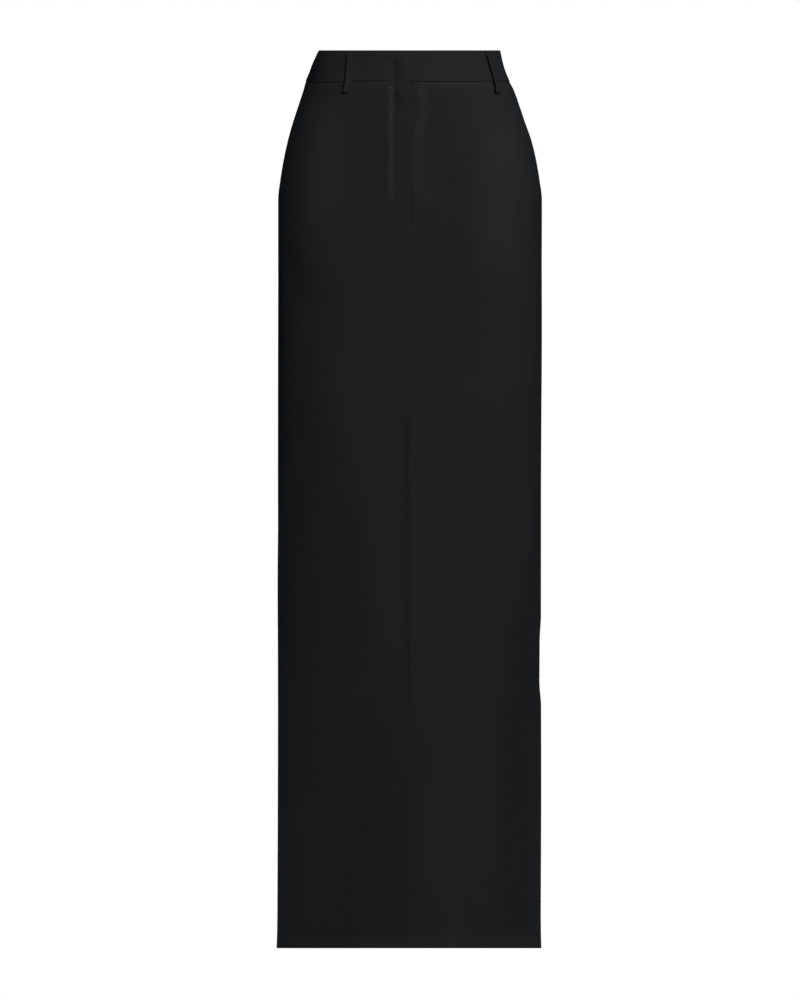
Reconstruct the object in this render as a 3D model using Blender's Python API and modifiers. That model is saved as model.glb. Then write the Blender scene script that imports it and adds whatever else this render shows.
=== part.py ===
"""Straight maxi skirt, filled out as it is when worn.

Metres, +Z up. The front faces -Y, and +X is the wearer's left. The origin is the middle of the waist
opening, level with the waistband's top edge, and the skirt hangs below it.

Every piece lies on one form, a stack of level rings. A place on the form has a drop, the distance below
the waistband's top edge, and a turn, the angle round from -Y towards the wearer's left. Each piece is a
grid of such places, an open sheet that Solidify makes into a wall of cloth.
"""

import math
from typing import NamedTuple

import bpy
import numpy as np

# ---- Driving sizes ---------------------------------------------------------------------------------
LENGTH = 1.095  # waistband's top edge to hem
BAND_HEIGHT = 0.038
PANEL_WALL = 0.0012
BAND_WALL = 0.0024  # two layers of cloth and their stiffening
SEAM_GAP = 0.0003  # between pieces that are sewn edge to edge
BAND_SEAM_GAP = 0.0009  # measured down the slope of the waist seam
LAP_GAP = 0.0005  # between layers that lie on each other
BAND_PROUD = 0.0006  # the waistband's face stands this far off the panels

CENTRE_FRONT_X = 0.0045  # the skirt is turned a little on its wearer
GARMENT_TURN = math.radians(2.0)  # the same turn, at the side and back seams
BAND_END_X = 0.0065  # free end of the waistband, over the other end
BAND_LAP = 0.024  # how far the waistband's ends lie on each other
BAND_SETTLE = 0.022  # past the free end, where the under layer comes back to the face

FLY_START = 0.043  # drop from which the fly has its own form
FLY_DROP = 0.205  # bottom of the front opening
FLY_CLOSE = 0.012  # below that, where the under layer comes back to the face
FLY_TAPER = 0.030  # above it, where the under layer widens to its full lap
FLY_FADE = 0.045  # above it, where the fly's own form starts to die away
FLY_SETTLE = 0.065  # past the fly's edge, where the under layer comes back to the face

LOOP_WIDTH = 0.0105
LOOP_WALL = 0.0015
LOOP_TOP = 0.0012  # drop of a loop's upper end
LOOP_BOTTOM = 0.0525

MEAN_RADIUS = 0.135  # turns a fold's angle into a distance across it
FOLD_FADE = 0.28  # share of a fold's length in which each end dies away

CLOTH_COLOUR = (0.0135, 0.0150, 0.0157, 1.0)
CLOTH_ROUGHNESS = 0.85


class Section(NamedTuple):
    """One level ring of the form."""

    drop: float
    shift: float  # of its middle towards the wearer's left
    half_width: float
    front: float  # reach forwards from the origin
    back: float  # reach backwards
    front_power: float  # exponent of the ring's superellipse in front, 2 for an ellipse
    back_power: float


SECTIONS = (
    Section(0.000, 0.0000, 0.1102, 0.0860, 0.0880, 2.00, 2.00),
    Section(0.012, -0.0016, 0.1140, 0.0892, 0.0920, 2.05, 2.00),
    Section(0.026, -0.0024, 0.1188, 0.0928, 0.0962, 2.12, 2.02),
    Section(0.038, -0.0022, 0.1240, 0.0960, 0.1002, 2.22, 2.04),
    Section(0.049, -0.0010, 0.1280, 0.0982, 0.1040, 2.35, 2.06),
    Section(0.061, -0.0007, 0.1326, 0.0997, 0.1080, 2.50, 2.08),
    Section(0.086, -0.0006, 0.1410, 0.1012, 0.1150, 2.78, 2.12),
    Section(0.110, 0.0002, 0.1486, 0.1022, 0.1210, 3.00, 2.16),
    Section(0.134, 0.0004, 0.1541, 0.1030, 0.1252, 3.20, 2.20),
    Section(0.159, 0.0004, 0.1583, 0.1035, 0.1279, 3.36, 2.22),
    Section(0.182, 0.0005, 0.1609, 0.1038, 0.1290, 3.46, 2.24),
    Section(0.250, 0.0005, 0.1608, 0.1042, 0.1292, 3.50, 2.24),
    Section(0.330, 0.0005, 0.1607, 0.1044, 0.1285, 3.25, 2.22),
    Section(0.550, 0.0001, 0.1605, 0.1044, 0.1250, 2.45, 2.14),
    Section(0.720, -0.0001, 0.1605, 0.1044, 0.1228, 1.95, 2.06),
    Section(0.900, -0.0003, 0.1607, 0.1050, 0.1215, 1.62, 1.98),
    Section(1.095, -0.0003, 0.1608, 0.1070, 0.1210, 1.52, 1.92),
)


class Fold(NamedTuple):
    """A soft ridge down the cloth, or a trough where its height is below zero."""

    top: float  # drop at which it starts
    bottom: float
    turn_top: float  # degrees
    turn_bottom: float
    bow: float  # degrees by which its middle leaves the straight line
    height: float
    spread: float  # from its crest to where it has mostly gone
    spread_on: float = 0.0  # the same towards larger turns, where it differs


FOLDS = (
    # a shallow hollow below the wearer's right hip, and the long fold that runs on from it
    Fold(top=0.225, bottom=0.325, turn_top=-58, turn_bottom=-42, bow=2, height=-0.0016, spread=0.022),
    Fold(top=0.290, bottom=0.770, turn_top=-44, turn_bottom=-12, bow=5, height=0.0014, spread=0.030),
    # the edge that the centre front seam makes below the fly
    Fold(0.300, 1.095, turn_top=1.4, turn_bottom=1.4, bow=0, height=0.0030, spread=0.007, spread_on=0.045),
    # down the wearer's left thigh
    Fold(top=0.430, bottom=1.070, turn_top=74, turn_bottom=40, bow=-6, height=0.0014, spread=0.030),
    Fold(top=0.830, bottom=1.060, turn_top=9, turn_bottom=21, bow=-3, height=-0.0010, spread=0.010),
    # a small dent in the wearer's left side
    Fold(top=0.690, bottom=0.800, turn_top=86, turn_bottom=91, bow=0, height=-0.0020, spread=0.024),
    # the back falls in the same way from the seat
    Fold(top=0.300, bottom=0.860, turn_top=236, turn_bottom=199, bow=-5, height=0.0027, spread=0.028),
    Fold(top=0.340, bottom=0.800, turn_top=132, turn_bottom=166, bow=5, height=0.0023, spread=0.025),
    Fold(top=0.370, bottom=0.930, turn_top=185, turn_bottom=184, bow=0, height=-0.0018, spread=0.016),
    Fold(top=0.640, bottom=1.060, turn_top=120, turn_bottom=137, bow=3, height=0.0022, spread=0.026),
    Fold(top=0.560, bottom=1.020, turn_top=262, turn_bottom=243, bow=-3, height=0.0020, spread=0.026),
)


class FlyRow(NamedTuple):
    """The form of the fly part of the way across it."""

    aside: float  # from its edge, below zero towards the wearer's right
    height: float


FLY_ROWS = (
    FlyRow(aside=-0.0650, height=0.0),
    FlyRow(aside=-0.0340, height=0.0011),
    FlyRow(aside=-0.0310, height=0.0010),
    FlyRow(aside=-0.0235, height=-0.0010),  # the groove of its stitching
    FlyRow(aside=-0.0205, height=-0.0011),
    FlyRow(aside=-0.0120, height=-0.0004),
    FlyRow(aside=-0.0050, height=0.0001),
    FlyRow(aside=0.0000, height=0.0011),  # its folded edge
    FlyRow(aside=0.0040, height=0.0006),
    FlyRow(aside=0.0130, height=-0.0009),
    FlyRow(aside=0.0190, height=-0.0011),
    FlyRow(aside=0.0800, height=0.0),
)


class LoopRow(NamedTuple):
    """How far the inside of a belt loop stands off the form, part of the way down the loop."""

    share: float
    lift: float


LOOP_ROWS = (
    LoopRow(share=0.00, lift=0.0010),
    LoopRow(share=0.08, lift=0.0015),
    LoopRow(share=0.22, lift=0.0024),
    LoopRow(share=0.45, lift=0.0028),
    LoopRow(share=0.70, lift=0.0026),
    LoopRow(share=0.84, lift=0.0018),
    LoopRow(share=0.93, lift=0.0008),
    LoopRow(share=1.00, lift=0.0004),
)


class LoopPlace(NamedTuple):
    """Where a belt loop is sewn on, as the turns of its two ends in degrees."""

    node: str
    turn_top: float
    turn_bottom: float


LOOP_PLACES = (
    LoopPlace(node="belt_loop_front_right", turn_top=-38.5, turn_bottom=-34.1),
    LoopPlace(node="belt_loop_front_left", turn_top=60.3, turn_bottom=52.3),
    LoopPlace(node="belt_loop_back_left", turn_top=137.0, turn_bottom=137.0),
    LoopPlace(node="belt_loop_back", turn_top=182.0, turn_bottom=182.0),
    LoopPlace(node="belt_loop_back_right", turn_top=227.0, turn_bottom=227.0),
)

# ---- Rows and columns of the pieces ----------------------------------------------------------------
BAND_DROPS = np.linspace(0.0, BAND_HEIGHT, 4)
PANEL_DROPS = np.concatenate((
    (BAND_HEIGHT + BAND_SEAM_GAP, FLY_START),
    np.linspace(FLY_START + 0.007, FLY_DROP, 13),
    np.linspace(FLY_DROP + FLY_CLOSE, LENGTH, 29),
))
SEAM_EDGE = (SEAM_GAP / 2, 0.006)  # columns beside a plain seam
FLY_EDGE = (SEAM_GAP / 2, 0.005, 0.012, 0.0205, 0.0235, 0.0272, 0.031, 0.036, 0.050)
LAP_OPEN = (-0.022, -0.014, -0.006, 0.002, 0.007, 0.013, 0.019, 0.036)  # under layer, beside the opening
LAP_CLOSED = (SEAM_GAP / 2, 0.004, 0.008, 0.012, 0.016, 0.020, 0.026, 0.036)  # the same columns below it
BAND_START = (-BAND_LAP, -0.016, -0.008, 0.0, 0.006, 0.013, BAND_SETTLE)
BAND_FINISH = (0.030, BAND_LAP, 0.016, 0.008, 0.0)
PANEL_COLUMNS = 8
BAND_COLUMNS = 54


def eased(share):
    """From 0 to 1, starting and ending level."""
    held = np.clip(share, 0.0, 1.0)
    return held * held * (3.0 - 2.0 * held)


def smooth_curve(at, knots, values):
    """A curve through the knots that is smooth and never swells between two of them."""
    steps = np.diff(knots)
    rises = np.diff(values) / steps
    before, after = rises[:-1], rises[1:]
    turns_back = before * after <= 0.0
    total = np.where(turns_back, 1.0, before + after)
    inner = np.where(turns_back, 0.0, 2.0 * before * after / total)
    slopes = np.concatenate((rises[:1], inner, rises[-1:]))
    row = np.clip(np.searchsorted(knots, at, side="right") - 1, 0, len(steps) - 1)
    share = (at - knots[row]) / steps[row]
    rest = 1.0 - share
    level = values[row] * (1.0 + 2.0 * share) * rest**2 + values[row + 1] * (3.0 - 2.0 * share) * share**2
    lean = slopes[row] * share * rest**2 - slopes[row + 1] * rest * share**2
    return level + lean * steps[row]


def column_of(drop, name):
    """A column of SECTIONS as a smooth curve of the drop."""
    knots = np.array([section.drop for section in SECTIONS])
    values = np.array([getattr(section, name) for section in SECTIONS])
    return smooth_curve(drop, knots, values)


def fold_relief(turn, drop):
    """The height of all the folds at a place, each a bell across its line that dies away at its ends."""
    relief = np.zeros(np.broadcast(turn, drop).shape)
    for fold in FOLDS:
        share = (drop - fold.top) / (fold.bottom - fold.top)
        down = np.clip(share, 0.0, 1.0)
        line = fold.turn_top + (fold.turn_bottom - fold.turn_top) * down
        line += fold.bow * 4.0 * down * (1.0 - down)
        aside = (turn - np.radians(line) + math.pi) % (2.0 * math.pi) - math.pi
        spread = np.where(aside > 0.0, fold.spread_on or fold.spread, fold.spread)
        reaches_hem = fold.bottom >= LENGTH
        ends = eased(share / FOLD_FADE) * (1.0 if reaches_hem else eased((1.0 - share) / FOLD_FADE))
        relief += fold.height * ends * np.exp(-(aside * MEAN_RADIUS / spread)**2)
    return relief


def fly_relief(aside, drop):
    """The fly's own form beside its edge, from the waist seam to the bottom of the opening."""
    knots = np.array([row.aside for row in FLY_ROWS])
    values = np.array([row.height for row in FLY_ROWS])
    across = smooth_curve(np.clip(aside, knots[0], knots[-1]), knots, values)
    return across * eased((drop - FLY_START) / FLY_CLOSE) * eased((FLY_DROP - drop) / FLY_FADE)


def form_points(turn, drop, out=0.0):
    """Points of the form, moved out by a distance square to their ring.

    A ring is a superellipse, |x / half_width|^n + |y / reach|^n = 1, read along rays from the middle.
    """
    half = column_of(drop, "half_width")
    side, ahead = np.sin(turn), -np.cos(turn)
    power = np.where(ahead < 0.0, column_of(drop, "front_power"), column_of(drop, "back_power"))
    reach = np.where(ahead < 0.0, column_of(drop, "front"), column_of(drop, "back"))
    ray = (np.abs(side) ** power + np.abs(ahead) ** power) ** (-1.0 / power)
    slope_x = np.sign(side) * np.abs(ray * side) ** (power - 1.0) / half
    slope_y = np.sign(ahead) * np.abs(ray * ahead) ** (power - 1.0) / reach
    length = np.hypot(slope_x, slope_y)
    moved = out + fold_relief(turn, drop)
    x = column_of(drop, "shift") + half * ray * side + moved * slope_x / length
    y = reach * ray * ahead + moved * slope_y / length
    return np.stack((x, y, np.broadcast_to(-drop, x.shape)), axis=-1)


def turn_at(x, drop):
    """The turn at which the front of the form stands at x."""
    share = (x - column_of(drop, "shift")) / column_of(drop, "half_width")
    power = column_of(drop, "front_power")
    return np.arctan2(share, (1.0 - np.abs(share) ** power) ** (1.0 / power))


def turn_beside(turn, drop, distance):
    """The turn reached from another by a short distance round the form."""
    probe = 0.001
    ahead = form_points(turn + probe, drop)
    behind = form_points(turn - probe, drop)
    return turn + distance * 2.0 * probe / np.linalg.norm(ahead - behind, axis=-1)


def grid_turns(drops, start, finish, near_start, near_finish, columns):
    """Turns of a grid between two seams, row by row.

    near_start and near_finish are distances into the piece from its seams, and the columns between them
    are evenly spaced.
    """
    first = turn_beside(start[:, None], drops, near_start)
    last = turn_beside(finish[:, None], drops, -np.asarray(near_finish)[None, :])
    between = np.linspace(0.0, 1.0, columns + 2)[1:-1]
    middle = first[:, -1:] + (last[:, :1] - first[:, -1:]) * between
    return np.concatenate((first, middle, last), axis=1)


def cloth_material(name):
    """Plain woven black cloth with a dull face."""
    material = bpy.data.materials.new(name)
    material.use_nodes = True
    shader = material.node_tree.nodes["Principled BSDF"]
    shader.inputs["Base Color"].default_value = CLOTH_COLOUR
    shader.inputs["Roughness"].default_value = CLOTH_ROUGHNESS
    shader.inputs["Metallic"].default_value = 0.0
    material.diffuse_color = CLOTH_COLOUR
    return material


def cloth_piece(name, points, wall, wall_side, parent):
    """Makes a grid of points into one wall of cloth.

    The grid has rows from top to bottom and columns from the wearer's right to left as seen in front, so
    its faces point outwards. The wall grows inwards where wall_side is -1 and outwards where it is 1.
    """
    rows, columns = points.shape[:2]
    number = np.arange(rows * columns).reshape(rows, columns)
    corners = (number[:-1, :-1], number[1:, :-1], number[1:, 1:], number[:-1, 1:])
    faces = np.stack(corners, axis=-1).reshape(-1, 4)
    mesh = bpy.data.meshes.new(name)
    mesh.from_pydata(points.reshape(-1, 3).tolist(), [], faces.tolist())
    mesh.shade_smooth()
    mesh.materials.append(cloth_material(name + "_cloth"))
    piece = bpy.data.objects.new(name, mesh)
    piece.parent = parent
    solidify = piece.modifiers.new("wall", "SOLIDIFY")
    solidify.thickness = wall
    solidify.offset = wall_side
    solidify.use_even_offset = True
    parent.users_collection[0].objects.link(piece)
    return piece


def build_waistband(parent):
    """One strip round the waist, with its first end under its last at the centre front."""
    drops = BAND_DROPS[:, None]
    end = turn_at(BAND_END_X, BAND_DROPS)
    turns = grid_turns(drops, end, end + 2.0 * math.pi, np.array(BAND_START), BAND_FINISH, BAND_COLUMNS)
    from_end = np.full(turns.shape[1], BAND_SETTLE)
    from_end[: len(BAND_START)] = BAND_START
    sunk = (BAND_WALL + LAP_GAP) * (1.0 - eased(from_end / BAND_SETTLE))
    points = form_points(turns, drops, BAND_PROUD - sunk)
    cloth_piece("waistband", points, BAND_WALL, -1.0, parent)


def distance_run(points):
    """How far each column lies from the first one, along its row."""
    steps = np.linalg.norm(np.diff(points, axis=1), axis=-1)
    return np.concatenate((np.zeros((len(points), 1)), np.cumsum(steps, axis=1)), axis=1)


def build_front_right(parent):
    """The front panel on top of the fly, with the groove of the fly's stitching."""
    drops = PANEL_DROPS[:, None]
    side = np.full(len(PANEL_DROPS), GARMENT_TURN - math.pi / 2.0)
    centre = turn_at(CENTRE_FRONT_X, PANEL_DROPS)
    turns = grid_turns(drops, side, centre, np.array(SEAM_EDGE), FLY_EDGE[::-1], PANEL_COLUMNS)
    run = distance_run(form_points(turns, drops))
    aside = run - run[:, -1:] - FLY_EDGE[0]
    cloth_piece("front_right", form_points(turns, drops, fly_relief(aside, drops)), PANEL_WALL, -1.0, parent)


def build_front_left(parent):
    """The front panel whose edge goes on under the fly, down to the bottom of the opening."""
    drops = PANEL_DROPS[:, None]
    centre = turn_at(CENTRE_FRONT_X, PANEL_DROPS)
    side = np.full(len(PANEL_DROPS), GARMENT_TURN + math.pi / 2.0)
    opened = eased((FLY_DROP - drops) / FLY_TAPER)
    from_edge = np.array(LAP_CLOSED) + (np.array(LAP_OPEN) - np.array(LAP_CLOSED)) * opened
    turns = grid_turns(drops, centre, side, from_edge, SEAM_EDGE[::-1], PANEL_COLUMNS)
    aside = distance_run(form_points(turns, drops)) + from_edge[:, :1]
    lapped = eased((FLY_DROP + FLY_CLOSE - drops) / FLY_CLOSE)
    near = 1.0 - eased((aside - SEAM_GAP) / FLY_CLOSE)
    far = 1.0 - eased((aside - SEAM_GAP) / FLY_SETTLE)
    far *= eased((drops - FLY_START) / FLY_CLOSE) * eased((FLY_DROP - drops) / FLY_FADE)
    sunk = near * lapped + (1.0 - near) * far
    out = fly_relief(aside, drops) - (PANEL_WALL + LAP_GAP) * sunk
    cloth_piece("front_left", form_points(turns, drops, out), PANEL_WALL, -1.0, parent)


def build_back(name, start_turn, finish_turn, parent):
    """One back panel, between a side seam and the centre back seam."""
    drops = PANEL_DROPS[:, None]
    start = np.full(len(PANEL_DROPS), start_turn)
    finish = np.full(len(PANEL_DROPS), finish_turn)
    turns = grid_turns(drops, start, finish, np.array(SEAM_EDGE), SEAM_EDGE[::-1], PANEL_COLUMNS + 2)
    cloth_piece(name, form_points(turns, drops), PANEL_WALL, -1.0, parent)


def build_belt_loop(place, parent):
    """A flat strip from the top of the waistband to the panel below it, standing off between its ends."""
    share = np.array([row.share for row in LOOP_ROWS])[:, None]
    lift = np.array([row.lift for row in LOOP_ROWS])[:, None]
    drops = LOOP_TOP + (LOOP_BOTTOM - LOOP_TOP) * share
    middle = np.radians(place.turn_top + (place.turn_bottom - place.turn_top) * share)
    across = np.array((-LOOP_WIDTH / 2.0, 0.0, LOOP_WIDTH / 2.0))
    turns = turn_beside(middle, drops, across)
    cloth_piece(place.node, form_points(turns, drops, lift), LOOP_WALL, 1.0, parent)


def main():
    for old in list(bpy.data.objects):
        bpy.data.objects.remove(old, do_unlink=True)
    skirt = bpy.data.collections.new("straight_maxi_skirt")
    bpy.context.scene.collection.children.link(skirt)
    waist = bpy.data.objects.new("waist", None)
    waist.empty_display_size = 0.05
    skirt.objects.link(waist)
    build_waistband(waist)
    build_front_right(waist)
    build_front_left(waist)
    side_left = GARMENT_TURN + math.pi / 2.0
    centre_back = GARMENT_TURN + math.pi
    side_right = GARMENT_TURN + math.pi * 1.5
    build_back("back_left", side_left, centre_back, waist)
    build_back("back_right", centre_back, side_right, waist)
    for place in LOOP_PLACES:
        build_belt_loop(place, waist)


main()
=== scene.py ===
"""Straight maxi skirt in black wool crepe, filled out as it is when worn.

Metres, +Z up. The front faces -Y and +X is the wearer's left. The origin is the middle of the waist
opening, and the skirt hangs below it. Every piece lies on one form, a stack of level rings. A place on
the form has a drop, the distance below the waistband's top edge, and a turn, the angle in radians round
from -Y towards the wearer's left. Right and left are the wearer's.
"""

from __future__ import annotations

import logging
import math
from dataclasses import dataclass, field
from enum import Enum

import bpy
import numpy as np
from bpy.types import ID, Material, Node, NodeSocket, NodeTree, Object
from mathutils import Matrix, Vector


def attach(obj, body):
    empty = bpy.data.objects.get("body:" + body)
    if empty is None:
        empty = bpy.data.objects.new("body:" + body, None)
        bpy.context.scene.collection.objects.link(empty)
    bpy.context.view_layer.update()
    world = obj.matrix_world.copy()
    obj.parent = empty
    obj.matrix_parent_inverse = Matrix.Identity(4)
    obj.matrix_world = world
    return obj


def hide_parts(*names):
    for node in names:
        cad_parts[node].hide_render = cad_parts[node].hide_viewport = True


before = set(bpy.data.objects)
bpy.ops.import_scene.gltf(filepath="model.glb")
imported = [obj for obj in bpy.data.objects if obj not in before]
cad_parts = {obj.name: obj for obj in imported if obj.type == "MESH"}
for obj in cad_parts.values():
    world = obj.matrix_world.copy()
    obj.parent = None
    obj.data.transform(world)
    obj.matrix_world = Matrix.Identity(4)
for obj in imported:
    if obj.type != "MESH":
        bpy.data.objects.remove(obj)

LOG = logging.getLogger("skirt")
Array = np.ndarray
MM = 0.001
FULL_TURN = 2.0 * math.pi
PHOTO_WIDTH = 800
PHOTO_HEIGHT = 1000


# ---- Small helpers ----
def ramp(place: Array, start: Array | float, over: float) -> Array:
    """Goes smoothly from 0 to 1: 3 s^2 - 2 s^3.

    Args:
        place: Where it is read.
        start: Where it leaves 0.
        over: How much further on it reaches 1; below zero, it rises the other way.

    Returns:
        Shares from 0 to 1.
    """
    share = np.clip((place - start) / over, 0.0, 1.0)
    return share * share * (3.0 - 2.0 * share)


def between(place: Array, start: float, rise: float, end: Array | float, fall: float) -> Array:
    """Goes smoothly from 0 to 1 over a rise after start, and back to 0 over a fall after end."""
    return ramp(place, start, rise) * (1.0 - ramp(place, end, fall))


def bell(place: Array, middle: Array | float, reach: Array | float, power: int = 2) -> Array:
    """Gives a bell, exp(-(d / reach)^power), which is flatter on top with a higher power."""
    return np.exp(-(((place - middle) / reach) ** power))


def rounded(distance: Array, radius: float) -> Array:
    """Gives how far a rounded edge has risen at a distance into it, from 0 to 1: a quarter of a circle."""
    return np.sqrt(1.0 - np.clip(1.0 - distance / radius, 0.0, 1.0) ** 2)


def wrapped(angle: Array) -> Array:
    """Brings angles to within half a turn of 0."""
    return (angle + math.pi) % FULL_TURN - math.pi


@dataclass(frozen=True)
class Curve:
    """A smooth curve through knots that never swells between two of them, and is level beyond them.

    Each stretch is a cubic. Its slope at a knot is the harmonic mean of the rises on both sides, or 0
    where they have opposite signs.
    """

    at: tuple[float, ...]
    values: tuple[float, ...]

    def read(self, place: Array) -> Array:
        """Reads the curve.

        Args:
            place: Where it is read, in the unit of its knots.

        Returns:
            Its values, in the shape of place.
        """
        knots, values = np.array(self.at), np.array(self.values)
        steps = np.diff(knots)
        rises = np.diff(values) / steps
        before, after = rises[:-1], rises[1:]
        turns_back = before * after <= 0.0
        total = np.where(turns_back, 1.0, before + after)
        inner = np.where(turns_back, 0.0, 2.0 * before * after / total)
        slopes = np.concatenate((rises[:1], inner, rises[-1:]))
        held = np.clip(place, knots[0], knots[-1])
        row = np.clip(np.searchsorted(knots, held, side="right") - 1, 0, len(steps) - 1)
        share = (held - knots[row]) / steps[row]
        rest = 1.0 - share
        level = values[row] * (1.0 + 2.0 * share) * rest**2 + values[row + 1] * (3.0 - 2.0 * share) * share**2
        lean = slopes[row] * share * rest**2 - slopes[row + 1] * rest * share**2
        return level + lean * steps[row]


def linear(colour: str) -> tuple[float, float, float, float]:
    """Turns an sRGB hex colour into linear light.

    Args:
        colour: Six hex digits, such as "1f2122".

    Returns:
        Linear red, green and blue, and an alpha of 1.
    """
    channels = [int(colour[k : k + 2], 16) / 255.0 for k in (0, 2, 4)]
    light = [c / 12.92 if c <= 0.04045 else ((c + 0.055) / 1.055) ** 2.4 for c in channels]
    return (*light, 1.0)


def add_node(tree: NodeTree, kind: str, links: dict | None = None, **settings) -> Node:
    """Adds one node with its settings and its incoming links.

    Args:
        tree: The node tree that gets the node.
        kind: The node's type name, without the ShaderNode in front.
        links: Input name or number to what feeds it: an output socket, or a constant.
        **settings: Properties of the node.

    Returns:
        The new node.
    """
    node = tree.nodes.new("ShaderNode" + kind)
    for name, value in settings.items():
        setattr(node, name, value)
    for name, source in (links or {}).items():
        if isinstance(source, NodeSocket):
            tree.links.new(source, node.inputs[name])
        else:
            node.inputs[name].default_value = source
    return node


def add_object(name: str, data: ID) -> Object:
    """Makes an object and links it to the scene.

    Args:
        name: Its name.
        data: Its mesh, light or camera.

    Returns:
        The new object.
    """
    made = bpy.data.objects.new(name, data)
    bpy.context.scene.collection.objects.link(made)
    return made


# ---- The form ----
@dataclass(frozen=True)
class Section:
    """One level ring of the form. The powers are those of its front and back halves."""

    drop: float
    shift: float
    half_width: float
    front: float
    back: float
    front_power: float
    back_power: float


@dataclass(frozen=True)
class Fold:
    """A soft ridge down the cloth, or a trough where its height is below zero. Its angles are in degrees."""

    top: float
    bottom: float
    turn_top: float
    turn_bottom: float
    bow: float
    height: float
    spread: float
    spread_on: float = 0.0  # its spread towards larger turns, where that differs
    fade: float = 0.28


@dataclass(frozen=True)
class Ripple:
    """One long shallow wave of the cloth, too slight to be called a fold."""

    height: float
    waves_round: float
    waves_down: float
    phase: float


SECTIONS = (
    Section(0.000, 0.0000, 0.1102, 0.0860, 0.0880, 2.00, 2.00),
    Section(0.012, -0.0016, 0.1140, 0.0892, 0.0920, 2.05, 2.00),
    Section(0.026, -0.0024, 0.1188, 0.0928, 0.0962, 2.12, 2.02),
    Section(0.038, -0.0022, 0.1240, 0.0960, 0.1002, 2.22, 2.04),
    Section(0.049, -0.0010, 0.1280, 0.0982, 0.1040, 2.35, 2.06),
    Section(0.061, -0.0007, 0.1326, 0.0997, 0.1080, 2.50, 2.08),
    Section(0.086, -0.0006, 0.1410, 0.1012, 0.1150, 2.78, 2.12),
    Section(0.110, 0.0002, 0.1486, 0.1022, 0.1210, 3.00, 2.16),
    Section(0.134, 0.0004, 0.1541, 0.1030, 0.1252, 3.20, 2.20),
    Section(0.159, 0.0004, 0.1583, 0.1035, 0.1279, 3.36, 2.22),
    Section(0.182, 0.0005, 0.1609, 0.1038, 0.1290, 3.46, 2.24),
    Section(0.250, 0.0005, 0.1608, 0.1042, 0.1292, 3.50, 2.24),
    Section(0.330, 0.0005, 0.1607, 0.1044, 0.1285, 3.25, 2.22),
    Section(0.550, 0.0001, 0.1605, 0.1044, 0.1250, 2.45, 2.14),
    Section(0.720, -0.0001, 0.1605, 0.1044, 0.1228, 1.95, 2.06),
    Section(0.900, -0.0003, 0.1607, 0.1050, 0.1215, 1.62, 1.98),
    Section(1.095, -0.0003, 0.1608, 0.1070, 0.1210, 1.52, 1.92),
)

FOLDS = (
    # a shallow hollow below the right hip, and the long fold that runs on from it
    Fold(0.215, 0.335, -64, -44, 2, -0.0032, 0.022),
    Fold(0.290, 0.800, -42, -10, 3, 0.0036, 0.034, spread_on=0.026),
    # a slight fullness on the right hip
    Fold(0.080, 0.150, -44, -46, 0, 0.0014, 0.013, fade=0.45),
    # the edge that the centre front seam makes below the fly
    Fold(0.330, 0.880, 1.4, 1.4, 0, 0.0036, 0.0075, spread_on=0.045),
    Fold(0.600, 1.095, 1.4, 1.4, 0, 0.0014, 0.0070, spread_on=0.040),
    # down the left thigh
    Fold(0.430, 1.100, 72, 25, -4, 0.0026, 0.026),
    Fold(0.480, 1.100, 84, 54, -4, -0.0014, 0.020),
    Fold(0.830, 1.060, 9, 21, -3, -0.0010, 0.010),
    # a small dent in the left side
    Fold(0.690, 0.800, 86, 91, 0, -0.0020, 0.024),
    # the back falls in the same way from the seat
    Fold(0.300, 0.860, 236, 199, -5, 0.0027, 0.028),
    Fold(0.340, 0.800, 132, 166, 5, 0.0023, 0.025),
    Fold(0.370, 0.930, 185, 184, 0, -0.0018, 0.016),
    Fold(0.640, 1.060, 120, 137, 3, 0.0022, 0.026),
    Fold(0.560, 1.020, 262, 243, -3, 0.0020, 0.026),
)

RIPPLES = (
    Ripple(0.00022, 7, 1.7, 0.4),
    Ripple(0.00018, 11, -1.1, 2.1),
    Ripple(0.00012, 17, 2.3, 4.4),
    Ripple(0.00010, 23, -3.1, 1.3),
)


@dataclass(frozen=True)
class Places:
    """Places on the form, and how each of them lies."""

    turn: Array
    drop: Array
    x: Array  # from the form's middle towards the wearer's left
    ahead: Array  # 1 straight ahead, 0 at the sides, -1 straight behind


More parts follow.
